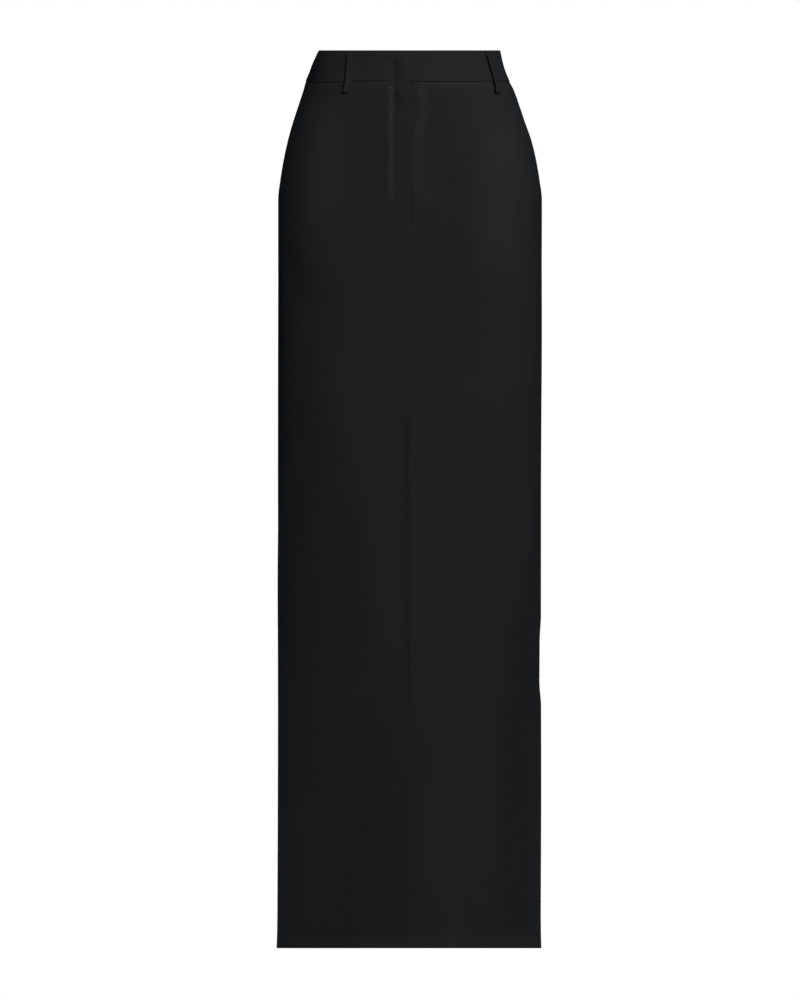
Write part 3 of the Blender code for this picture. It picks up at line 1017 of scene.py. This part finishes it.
    def painted_light_share(self, at: Places) -> Array:
        """Gives the broad painted light: painted highlights and shade in the front's patches, and painted
        shade at the right side.

        Args:
            at: Places on the form.

        Returns:
            Shares, below zero for painted shade.
        """
        front = sum(patch.share(at.x, at.drop) for patch in PAINTED_LIGHT_PATCHES) * ramp(at.ahead, 0.0, 0.2)
        aside = wrapped(at.turn - self.side_turn)
        side = bell(aside, 0.0, 0.34, 4) * (1.0 - ramp(aside, -0.06, -0.24))
        return front - self.side_shade * side * bell(at.drop, self.side_drop, 0.112)

    def waist_highlight(self, at: Places) -> Array:
        """Gives the painted highlight on the swell below the waist seam.

        It leaves out the closing's layers and is weaker towards the sides.

        Args:
            at: Places on the form.

        Returns:
            Shares from 0 to 1.
        """
        seam = self.form.band_height
        strip = between(at.drop, seam - 0.0006, 0.0008, seam + np.where(at.x > 0.0, 0.0034, 0.0010), 0.0055)
        front = ramp(at.x, -0.024, -0.005) + ramp(at.x, 0.008, 0.006)
        outer = 1.0 - 0.8 * ramp(at.x, -0.064, -0.012) - 0.75 * ramp(at.x, 0.035, 0.030)
        return self.waist_seam_highlight * strip * np.where(at.ahead > 0.0, front * outer, 0.8)

    def painted_light(self, at: Places, distances: list[Array]) -> Array:
        """Adds up the painted light: painted highlights beside the fly, seams and hem, and the broad painted
        light and painted shade.

        Args:
            at: Places on the form.
            distances: Distances into the piece from each side.

        Returns:
            Shares, below zero for painted shade.
        """
        low = self.form.length
        total = self.hem_highlight * between(at.drop, low - 0.022, 0.016, low, 0.0008)
        total = total + self.waist_highlight(at) + self.painted_light_share(at)
        for side, distance in zip((self.start, self.finish), distances):
            if side.edge.is_fly:
                total = total + self.fly.painted_light(side.way * distance, at.drop)
            else:
                total = total + self.seam_highlight * np.exp(-np.maximum(distance, 0.0) / 0.005)
        return total

    def waist_lift(self, at: Places) -> Array:
        """Tucks the panel's top inside the waistband and swells it just below the seam.

        Where the fly's layers lie under the seam, and at the sides, the cloth comes out level with the
        waistband. At the back it swells less.

        Args:
            at: Places on the form.

        Returns:
            Heights in metres.
        """
        below = at.drop - self.form.band_height
        bulk = bell(at.x, -0.0030, 0.0105, 4) + 0.9 * ramp(at.x, 0.060, 0.042) + ramp(at.x, -0.097, -0.010)
        swell = self.swell.read(below)
        swell = np.where(swell > 0.0, swell * (0.25 + 0.75 * ramp(at.ahead, 0.0, 0.5)), swell)
        return swell + (self.level.read(below) - swell) * bulk * ramp(at.ahead, 0.0, 0.3)

    def hem_print(self, at: Places) -> Array:
        """Shows the turned-up hem: a faint step at its upper edge, and a slight flare down to its fold.

        Args:
            at: Places on the form.

        Returns:
            Heights in metres.
        """
        line = self.form.length - self.hem_depth + 0.0012 * np.sin(at.turn * 9.0 + 1.0)
        flare = np.clip((at.drop - self.form.length + 0.023) / 0.023, 0.0, 1.0) ** 1.5
        return self.hem_step * ramp(at.drop, line, 0.010) + self.hem_flare * flare

    def seam_dip(self, distance: Array, radius: float) -> Array:
        """Rounds an edge inwards as a quarter of a circle."""
        return radius * (rounded(distance, radius) - 1.0)

    def seam_ease(self, distance: Array, drops: Array, phase: float) -> Array:
        """Gives the slight draw of a sewn seam: the cloth sinks beside it and puckers unevenly."""
        pucker = np.sin(drops * 520.0 + phase) * (0.6 + 0.4 * np.sin(drops * 61.0 + 2.0 * phase))
        return np.exp(-np.maximum(distance, 0.0) / 0.006) * (self.seam_pucker * pucker - self.seam_sink)

    def edge_form(self, side: PanelSide, distance: Array, down: Array, lapped: Array) -> Array:
        """Gives the form of the cloth beside one side.

        Args:
            side: The side.
            distance: Distance into the piece from its seam line.
            down: Drops.
            lapped: Share of the seam allowance that each row has under the neighbour.

        Returns:
            Heights in metres.
        """
        rolled = self.seam_dip(distance, self.seam_roll) * (1.0 - lapped)
        beneath = 1.0 - ramp(distance, 0.0001, 0.0003)
        closed = rolled - (self.wall + self.seam_gap) * beneath * lapped
        if not side.edge.is_fly:
            phase = 1.3 if side.edge is Edge.SIDE_SEAM else 3.9
            return closed + self.seam_ease(distance, down, phase + side.way)
        opened = ramp(down, self.fly.bottom + self.fly.close, -self.fly.close)
        own = self.fly.relief(side.way * distance, down)
        own = own + self.seam_ease(distance, down, 5.1) * (1.0 - opened)
        if side.edge is Edge.FLY_TOP:
            return own + self.seam_dip(distance, self.fold_roll) * opened + rolled * (1.0 - opened)
        sunk = 1.0 - ramp(distance, self.seam_gap, 0.004)
        broad = 1.0 - ramp(distance, 0.004, 0.060)
        broad = broad * between(down, self.form.band_height, 0.010, 0.150, 0.060)
        under = -(self.wall + self.lap_gap) * (sunk + (1.0 - sunk) * broad)
        return own + under * opened + closed * (1.0 - opened)

    def declare(self, made: Object) -> None:
        flat, area = Pattern().panel(
            self.start.edge, self.finish.edge, self.hem_depth, self.tuck, self.fly.bottom)


# ---- Waistband ----
@dataclass(frozen=True)
class Waistband(Piece):
    """One strip folded along the waist's top edge, its first end under its last at the centre front."""

    girth: float = 0.66
    end_x: float = 0.0065
    lap: float = 0.024
    settle: float = 0.014
    thick: float = 0.0024
    wall: float = 0.00045
    proud: float = 0.0006
    lap_gap: float = 0.0001
    rolled: float = 0.0006
    spacing: float = 0.0016
    fold_highlight: float = 0.20  # strengths of the painted highlights, and of the painted shade in the dimple and at the right side
    edge_highlight: float = 0.30
    dimple_shade: float = 0.30
    side_shade: float = 0.34
    hook_x: float = -0.0186  # of the hidden hook, which pulls at the cloth
    hook: Curve = Curve(  # mm of height, at mm across
        at=(-90.0, -60.0, -27.0, -21.0, -19.6, -12.0, -4.0, 14.0, 90.0),
        values=(0.0, 0.0, -0.6, -1.7, -1.8, -0.3, 0.2, 0.0, 0.0))

    def profile(self) -> tuple[Array, Array]:
        """Gives the strip's section: up inside, over the top fold, down the face, in at the seam.

        The fold is half a circle, out = R cos a and drop = R (1 - sin a) about its middle, and the seam
        edge is a quarter of a smaller one.

        Returns:
            Drops, and distances out from the form, one of each for a row.
        """
        radius = self.thick / 2.0
        angles = np.linspace(math.pi, 0.0, 11)
        edge = np.linspace(0.0, math.pi / 2.0, 5)[1:]
        low = self.form.band_height - self.rolled
        inner = np.linspace(self.form.band_height + 0.0004, radius + 0.001, 16)
        outer = np.linspace(radius + 0.001, low, 26)
        drops = np.concatenate((
            inner, radius * (1.0 - np.sin(angles)), outer, low + self.rolled * np.sin(edge)))
        outs = self.proud + np.concatenate((
            np.full(len(inner), -self.thick), radius * (np.cos(angles) - 1.0),
            np.zeros(len(outer)), self.rolled * (np.cos(edge) - 1.0)))
        return drops, outs

    def columns(self, down: Array) -> tuple[Array, Array, Array]:
        """Spreads the strip's columns, close together towards its two ends.

        Args:
            down: Drops of the rows.

        Returns:
            Turns, rows by columns, how far each column lies past the free end, below zero in the lap,
            and how far it lies from the nearer end of the strip.
        """
        end = self.form.turn_at(self.end_x, down)
        ends_in = np.array((0.0, 0.1, 0.2, 0.35, 0.6, 1.0, 2.0, 4.0, 6.0, 8.0, 10.0)) * MM
        last_from = np.concatenate((np.arange(0.034, 0.011, -0.002), ends_in[::-1]))
        start_in = np.concatenate((-self.lap + ends_in, np.arange(-0.0125, self.settle + 0.001, 0.0025)))
        count = int(self.girth / self.spacing)
        turns = filled(self.form.turn_beside(end, down, start_in),
                       self.form.turn_beside(end + FULL_TURN, down, -last_from), count)
        far = np.ones(count)
        along = np.concatenate((start_in, far, np.ones(len(last_from))))
        return turns, along, np.concatenate((start_in + self.lap, far, last_from))

    def layers(self, distance: Array) -> Array:
        """Gives how thick the lap's pressed layers are at a distance from the free end of the one on top."""
        return 0.00035 + 0.00085 * ramp(distance, 0.0, 0.008) + 0.0012 * ramp(distance, 0.008, 0.022)

    def lapped(self, along: Array, to_end: Array) -> tuple[Array, Array]:
        """Gives how far the strip's face and lining stand off the form, column by column.

        Pressed together, the two layers of the lap thin towards the free end, so the face hardly steps
        there. The layer beneath follows the lining of the one on top.

        Args:
            along: Distance past the free end, below zero in the lap.
            to_end: Distance to the nearer end of the strip.

        Returns:
            The face's and the lining's distances out.
        """
        is_over = np.arange(len(along)) >= len(along) // 2
        lining = self.proud - np.where(is_over, np.minimum(self.layers(to_end), self.thick), self.thick)
        beneath = self.proud - self.layers(-along) - self.lap_gap
        risen = beneath + (self.proud - beneath) * ramp(along, 0.0, self.settle)
        face = np.where(is_over | (along >= self.settle), self.proud, risen)
        return face, np.minimum(lining, face - 0.0003)

    def surface(self, at: Places) -> Array:
        """Gives the face's slight unevenness, and the dimple where the hidden hook pulls at the cloth.

        Args:
            at: Places on the form.

        Returns:
            Heights in metres.
        """
        pulled = ramp(at.drop, 0.007, 0.006) * (1.0 - 0.35 * ramp(at.drop, 0.024, 0.012)) * (at.ahead > 0.0)
        dimple = self.hook.read(at.x / MM) * MM * pulled
        share = np.clip(at.drop / self.form.band_height, 0.0, 1.0)
        waves = 0.00008 * np.sin(at.turn * 31.0 + 14.0 * share)
        waves = waves + 0.00006 * np.sin(at.turn * 53.0 - 9.0 * share)
        return dimple + (0.00030 + waves) * np.sin(math.pi * share)

    def painted_light(self, at: Places, x: Array, to_edge: Array) -> Array:
        """Gives the painted light.

        Painted highlights lie along the top fold, at the lap's edges and on the right half of the front, and
        painted shade lies in the hook's dimple and at the right side.

        Args:
            at: Places on the form.
            x: Where the cloth's own points lie towards the wearer's left.
            to_edge: Distances from an edge of the lap.

        Returns:
            Shares, below zero for painted shade.
        """
        dimple = bell(x, self.hook_x, np.where(x > self.hook_x, 0.0080, 0.0015))
        dimple = dimple * ramp(at.drop, 0.008, 0.005) * (1.0 - 0.45 * ramp(at.drop, 0.020, 0.012))
        right = 0.36 * bell(x, -0.088, 0.014, 4) + 0.26 * bell(x, -0.063, 0.008)
        front = right - self.side_shade * ramp(x, -0.108, -0.010) - self.dimple_shade * dimple
        fold = self.fold_highlight * bell(at.drop, 0.0, 0.0016)
        return fold + self.edge_highlight * bell(to_edge, 0.0, 0.0012) + front * (at.ahead > 0.0)

    def build(self, finish: Material) -> Object:
        """Makes the waistband.

        Args:
            finish: Its material.

        Returns:
            The new object.
        """
        drops, outs = self.profile()
        down = drops[:, None]
        turns, along, to_end = self.columns(down)
        face, lining = self.lapped(along, to_end)
        height = outs[:, None] - self.proud + self.thick / 2.0
        outside = height > 0.0
        level = height / self.thick * (0.3 + 0.7 * rounded(to_end, 0.0004))
        at = self.form.places(turns, down)
        out = (face + lining) / 2.0 + level * (face - lining) + outside * self.surface(at)
        sag = self.form.seam_sag(at) * ramp(down, 0.014, self.form.band_height - 0.014)
        points = self.form.points(turns, down + sag, out)
        made = grid_object(self.node + "_cloth", points, measured_map(points), finish)
        to_edge = np.where(outside, np.minimum(to_end, np.abs(along)), 1.0)
        mark_painted_light(made, self.painted_light(at, points[..., 0], to_edge))
        give_thickness(made, self.wall)
        return made

    def declare(self, made: Object) -> None:
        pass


# ---- Belt loops ----
@dataclass(frozen=True)
class BeltLoop(Piece):
    """A folded strip sewn on at the waistband's top and on the panel just below it.

    Its right edge stands off the cloth and the other lies on it.
    """

    turn: float = 0.0  # of its middle in degrees, where it has no line
    line: Curve | None = None  # of its right edge at the front: mm across, at mm of drop
    gape: float = 0.0014  # how far its raised edge stands off at most
    painted_light_share: float = 0.0  # strength of the painted highlight on its face
    shade_from: float = 0.88  # share of the width where the painted shade beside the raised edge begins
    width: float = 0.0105
    wall: float = 0.0015
    thin_wall: float = 0.0003  # at the edge that lies on the cloth
    above: float = -0.0012  # its top end lies a little below the waistband's edge
    bottom: float = 0.0520
    turned_up: float = 0.008  # at the lower end the strip is turned under and is twice as thick
    raised_by: Curve = Curve(  # share of the gape, at shares of the length
        at=(0.0, 0.09, 0.16, 0.45, 0.70, 0.84, 0.93, 1.0),
        values=(0.0, 0.0, 0.35, 0.9, 1.0, 0.9, 0.7, 0.6))

    def edge_turn(self, drops: Array, lift: Array) -> Array:
        """Gives the turn of the loop's right edge, row by row.

        Args:
            drops: Drops of the rows.
            lift: How far that edge stands off the form.

        Returns:
            Turns.
        """
        if self.line is None:
            middle = np.full(drops.shape, math.radians(self.turn))
            return self.form.turn_beside(middle, drops, -self.width / 2.0)
        x = self.line.read(drops / MM) * MM
        turn = self.form.turn_at(x, drops)
        leans = (self.form.points(turn, drops, MM) - self.form.points(turn, drops))[..., 0] / MM
        return self.form.turn_at(x - lift * leans, drops)

    def build(self, finish: Material) -> Object:
        """Makes the loop as a flat rounded section carried along its length.

        The section is a slim superellipse, across = w/2 cos a |cos a|^-0.6, out = t/2 sin a |sin a|^-0.4,
        whose thickness t and height over the form go evenly from one edge to the other.

        Args:
            finish: Its material.

        Returns:
            The new object.
        """
        length = self.bottom + self.above
        tip = np.array((0.0, 0.15, 0.4, 0.8, 1.3)) * MM
        along = np.concatenate((tip, np.linspace(0.0025, length - 0.0025, 40), length - tip[::-1]))[:, None]
        drops = along - self.above
        lift = 0.0009 + self.gape * self.raised_by.read(along / length)
        edge = self.edge_turn(drops, lift + self.wall / 2.0)
        angle = np.linspace(0.0, FULL_TURN, 48, endpoint=False)[None, :]
        closing = rounded(np.minimum(along, length - along), 0.0007)
        cos, sin = np.cos(angle), np.sin(angle)
        across = 0.5 * self.width * (1.0 - np.sign(cos) * np.abs(cos) ** 0.4 * (0.93 + 0.07 * closing))
        raised = 1.0 - across / self.width
        doubled = 1.0 + 0.45 * ramp(along, length - self.turned_up, 0.002)
        thick = (self.thin_wall + (self.wall - self.thin_wall) * raised) * doubled
        height = 0.5 * thick * np.sign(sin) * np.abs(sin) ** 0.6 * (0.15 + 0.85 * closing)
        floor = 0.0007 + (lift - 0.0007) * raised**2
        swell = 0.0003 * np.sin(math.pi * raised) * (sin > 0.0)
        turns = self.form.turn_beside(edge, drops, across)
        points = self.form.points(turns, drops, floor + thick / 2.0 + height + swell)
        cloth_map = np.stack(np.broadcast_arrays(angle * self.width / math.pi, -along), axis=-1)
        made = grid_object(self.node + "_cloth", points, cloth_map, finish, ring=True)
        self.close_ends(made, points)
        # painted shade along the raised edge and at the lower end, and a painted highlight on the face
        loop_shade = ramp(raised, self.shade_from, 0.06) * ramp(along, 0.003, 0.003)
        loop_shade = np.maximum(loop_shade, ramp(along, length - 0.0014, 0.0005))
        mark_painted_light(made, self.painted_light_share * ramp(raised, 0.0, 0.1) * (1.0 - loop_shade) - loop_shade)
        return made

    def close_ends(self, made: Object, points: Array) -> None:
        """Closes the two ends of the strip with one face each.

        Args:
            made: The loop's object.
            points: Its points, rows by columns by 3.
        """
        rows, columns = points.shape[:2]
        mesh = made.data
        corners = np.empty((len(mesh.polygons), 4), dtype=np.int32)
        mesh.polygons.foreach_get("vertices", corners.ravel())
        first = list(range(columns))
        last = list(range((rows - 1) * columns, rows * columns))[::-1]
        uv = np.empty(len(mesh.loops) * 2, dtype=np.float32)
        mesh.uv_layers["cloth"].data.foreach_get("uv", uv)
        mesh.clear_geometry()
        mesh.from_pydata(points.reshape(-1, 3).tolist(), [], corners.tolist() + [first, last])
        layer = mesh.uv_layers.get("cloth") or mesh.uv_layers.new(name="cloth")
        layer.data.foreach_set("uv", np.concatenate((uv, np.zeros(4 * columns, dtype=np.float32))))
        mesh.shade_smooth()

    def declare(self, made: Object) -> None:
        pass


# ---- Stitching ----
@dataclass(frozen=True)
class StitchRow:
    """A row of machine stitches along a line of places on the form."""

    form: SkirtForm
    name: str
    thread: float = 0.00035
    pitch: float = 0.0028
    share: float = 0.82  # of the pitch that each stitch takes up
    rings: int = 5
    sides: int = 6

    def build(self, turns: Array, drops: Array, outs: Array, finish: Material) -> Object:
        """Makes the row: each stitch is a short arched thread with pointed ends, all in one mesh.

        Args:
            turns: Turns of the line's points.
            drops: Their drops.
            outs: Their heights over the form.
            finish: The thread's material.

        Returns:
            The new object.
        """
        line = self.form.points(turns, drops, outs)
        normal = self.form.points(turns, drops, outs + MM) - line
        normal = normal / np.linalg.norm(normal, axis=-1, keepdims=True)
        run = run_along(line, 0)
        count = max(int(run[-1] / self.pitch), 1)
        start = (np.arange(count) + 0.5 * (1.0 - self.share)) * self.pitch
        step = np.linspace(0.0, 1.0, self.rings)
        at = start[:, None] + step[None, :] * self.pitch * self.share
        centre, out = (np.stack([np.interp(at, run, values[:, k]) for k in range(3)], axis=-1)
                       for values in (line, normal))
        along = np.gradient(centre, axis=1)
        along = along / np.linalg.norm(along, axis=-1, keepdims=True)
        side = np.cross(along, out)
        arch = np.sin(math.pi * step)
        radius = 0.5 * self.thread * (0.35 + 0.65 * arch)
        centre = centre + out * (0.30 * self.thread * arch - 0.15 * self.thread)[None, :, None]
        angle = np.linspace(0.0, FULL_TURN, self.sides, endpoint=False)[:, None]
        ring = np.cos(angle) * side[:, :, None, :] + np.sin(angle) * out[:, :, None, :]
        return self.joined(centre[:, :, None, :] + radius[None, :, None, None] * ring, finish)

    def joined(self, points: Array, finish: Material) -> Object:
        """Joins all stitches into one mesh of short closed tubes.

        Args:
            points: Stitches by rings by sides by 3.
            finish: The thread's material.

        Returns:
            The new object.
        """
        number = np.arange(points[..., 0].size).reshape(points.shape[:3])
        following = np.roll(number, -1, axis=2)
        walls = np.stack((number[:, :-1], following[:, :-1], following[:, 1:], number[:, 1:]), axis=-1)
        caps = np.concatenate((number[:, 0, ::-1], number[:, -1]), axis=0)
        mesh = bpy.data.meshes.new(self.name)
        mesh.from_pydata(points.reshape(-1, 3).tolist(), [], walls.reshape(-1, 4).tolist() + caps.tolist())
        mesh.shade_smooth()
        mesh.materials.append(finish)
        made = add_object(self.name, mesh)
        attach(made, "root")
        return made


def sew_fly(panel: Panel, thread: Material) -> None:
    """Sews the fly's row of stitching and the bar tack at its lower end.

    Args:
        panel: The front that has the fly's edge on top.
        thread: The thread's material.
    """
    form, fly = panel.form, panel.fly
    curve = np.sin(np.linspace(0.0, math.pi / 2.0, 30)[1:])
    row = np.concatenate((np.arange(form.band_height + 0.0012, fly.stitch_turn, 0.002),
                          fly.stitch_turn + (fly.stitch_end - 0.0006 - fly.stitch_turn) * curve))
    tack = np.full(24, fly.bottom + 0.0035)
    lines = ((row, fly.aside_of_row(row), StitchRow(form, "fly_stitching")),
             (tack, np.linspace(-0.0062, -0.0004, 24),
              StitchRow(form, "fly_bar_tack", thread=0.0005, pitch=0.0006, share=0.95)))
    for drops, aside, stitches in lines:
        turns = form.turn_beside(form.turn_at(fly.line_x(drops), drops), drops, aside)
        at = form.places(turns, drops)
        outs = panel.waist_lift(at) + panel.hem_print(at) + fly.relief(aside, drops)
        report(stitches.build(turns, drops + panel.sag(at), outs, thread))


# ---- Studio ----
@dataclass(frozen=True)
class Softbox:
    """One soft area light, aimed at a point of the skirt."""

    name: str
    place: tuple[float, float, float]
    aim: tuple[float, float, float]
    side: float
    power: float
    glossy: bool = True  # False where it would only put a bright rim on the skirt's outline

    def build(self) -> None:
        """Makes the light."""
        lamp = bpy.data.lights.new(self.name, "AREA")
        lamp.shape = "RECTANGLE"
        lamp.size = lamp.size_y = self.side
        lamp.energy = self.power
        made = add_object(self.name, lamp)
        made.location = self.place
        made.visible_glossy = self.glossy
        made.rotation_euler = (Vector(self.aim) - Vector(self.place)).to_track_quat("-Z", "Y").to_euler()


@dataclass(frozen=True)
class Studio:
    """Pale floor, soft light and the camera of the photo."""

    millimetres_per_pixel: float = 1.2195
    outline_middle: float = 409.5  # photo column of the skirt's middle
    waist_row: float = 50.3  # photo row of the waistband's top edge
    camera_distance: float = 4.0
    floor_drop: float = 1.0955
    floor_side: float = 2.4
    room_light: float = 0.01
    softboxes: tuple[Softbox, ...] = (
        Softbox("front_softbox", (-0.30, -4.6, 1.7), (0.0, 0.0, -0.5), 2.0, 50.8),
        Softbox("high_softbox", (-0.30, -3.4, 3.2), (0.0, 0.0, -0.5), 2.0, 97.6),
        Softbox("right_softbox", (1.2, -0.5, 0.7), (0.05, 0.0, -0.3), 0.8, 7.2),
        Softbox("right_hip_softbox", (1.2, -1.0, 0.1), (0.1, 0.0, -0.15), 0.5, 4.4),
        Softbox("back_softbox", (0.6, 3.6, 1.8), (0.0, 0.0, -0.5), 2.0, 76.0, glossy=False),
        Softbox("back_right_softbox", (-0.9, 3.5, 0.7), (0.0, 0.0, -0.5), 0.8, 34.0, glossy=False),
    )

    def build(self) -> None:
        """Makes the floor, the white surround, the lights and the camera."""
        bpy.ops.mesh.primitive_plane_add(size=self.floor_side, location=(0.0, 0.0, -self.floor_drop))
        floor = bpy.context.object
        floor.name = "studio_floor"
        floor.data.materials.append(MattePaint().build())
        self.surround()
        for softbox in self.softboxes:
            softbox.build()
        self.camera()
        bpy.context.scene.view_settings.view_transform = "Standard"

    def surround(self) -> None:
        """Makes the white surround: bright where it is seen, dim as a light, as a lit screen is."""
        world = bpy.data.worlds.new("white_surround")
        world.use_nodes = True
        tree = world.node_tree
        tree.nodes.clear()
        seen, room = (add_node(tree, "Background", {"Color": linear("ffffff"), "Strength": strength})
                      for strength in (1.0, self.room_light))
        path = add_node(tree, "LightPath")
        mixed = add_node(tree, "MixShader", {
            0: path.outputs["Is Camera Ray"], 1: room.outputs[0], 2: seen.outputs[0]})
        add_node(tree, "OutputWorld", {"Surface": mixed.outputs[0]})
        bpy.context.scene.world = world

    def camera(self) -> None:
        """Makes the level camera, so far off that it sees no perspective, framed as the photo is."""
        scale = self.millimetres_per_pixel * MM
        lens = bpy.data.cameras.new("photo_camera")
        lens.type = "ORTHO"
        lens.ortho_scale = PHOTO_HEIGHT * scale
        made = add_object("photo_camera", lens)
        x = (PHOTO_WIDTH / 2.0 - self.outline_middle) * scale
        z = (self.waist_row - PHOTO_HEIGHT / 2.0) * scale
        made.location = (x, -self.camera_distance, z)
        made.rotation_euler = (math.pi / 2.0, 0.0, 0.0)
        bpy.context.scene.camera = made


# ---- The skirt ----
GARMENT_TURN = math.radians(2.0)  # the skirt is turned a little on its wearer
CUTS = (  # from the wearer's right, a quarter of the way round each
    ("front_right", Edge.SIDE_SEAM, Edge.FLY_TOP),
    ("front_left", Edge.FLY_UNDER, Edge.SIDE_SEAM),
    ("back_left", Edge.SIDE_SEAM, Edge.CENTRE_BACK),
    ("back_right", Edge.CENTRE_BACK, Edge.SIDE_SEAM),
)
LINE_DROPS = (0.0, 5.7, 11.8, 19.1, 26.5, 33.8, 41.1, 46.0, 50.9, 56.0)
LOOPS = (
    BeltLoop("belt_loop_front_right", gape=0.0018, painted_light_share=0.10, shade_from=0.78, line=Curve(
        LINE_DROPS, (-77.0, -77.4, -77.9, -78.5, -79.1, -79.6, -80.7, -81.8, -82.4, -82.5))),
    BeltLoop("belt_loop_front_left", gape=0.0010, painted_light_share=0.08, shade_from=0.92, line=Curve(
        LINE_DROPS, (92.7, 94.2, 96.0, 98.2, 100.4, 102.6, 104.3, 105.0, 104.8, 104.6))),
    BeltLoop("belt_loop_back_left", turn=137.0),
    BeltLoop("belt_loop_back", turn=182.0),
    BeltLoop("belt_loop_back_right", turn=227.0),
)


def build_skirt() -> None:
    """Builds and dresses every piece of the skirt."""
    panel_cloth = WoolCrepe("black_wool_crepe").build()
    band_cloth = WoolCrepe("black_wool_crepe_crosswise", turned=90.0).build()
    thread = PolyesterThread().build()
    quarter = FULL_TURN / 4.0
    Waistband("waistband").add(band_cloth)
    for k, (node, start, finish) in enumerate(CUTS):
        turn = GARMENT_TURN + (k - 1) * quarter
        panel = Panel(node, PanelSide(start, turn, 1.0), PanelSide(finish, turn + quarter, -1.0))
        panel.add(panel_cloth)
        if finish is Edge.FLY_TOP:
            sew_fly(panel, thread)
    for loop in LOOPS:
        loop.add(band_cloth)


def main() -> None:
    """Builds the skirt and its studio."""
    logging.basicConfig(level=logging.INFO, format="%(name)s: %(message)s")
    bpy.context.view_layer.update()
    build_skirt()
    Studio().build()


if __name__ == "__main__":
    main()
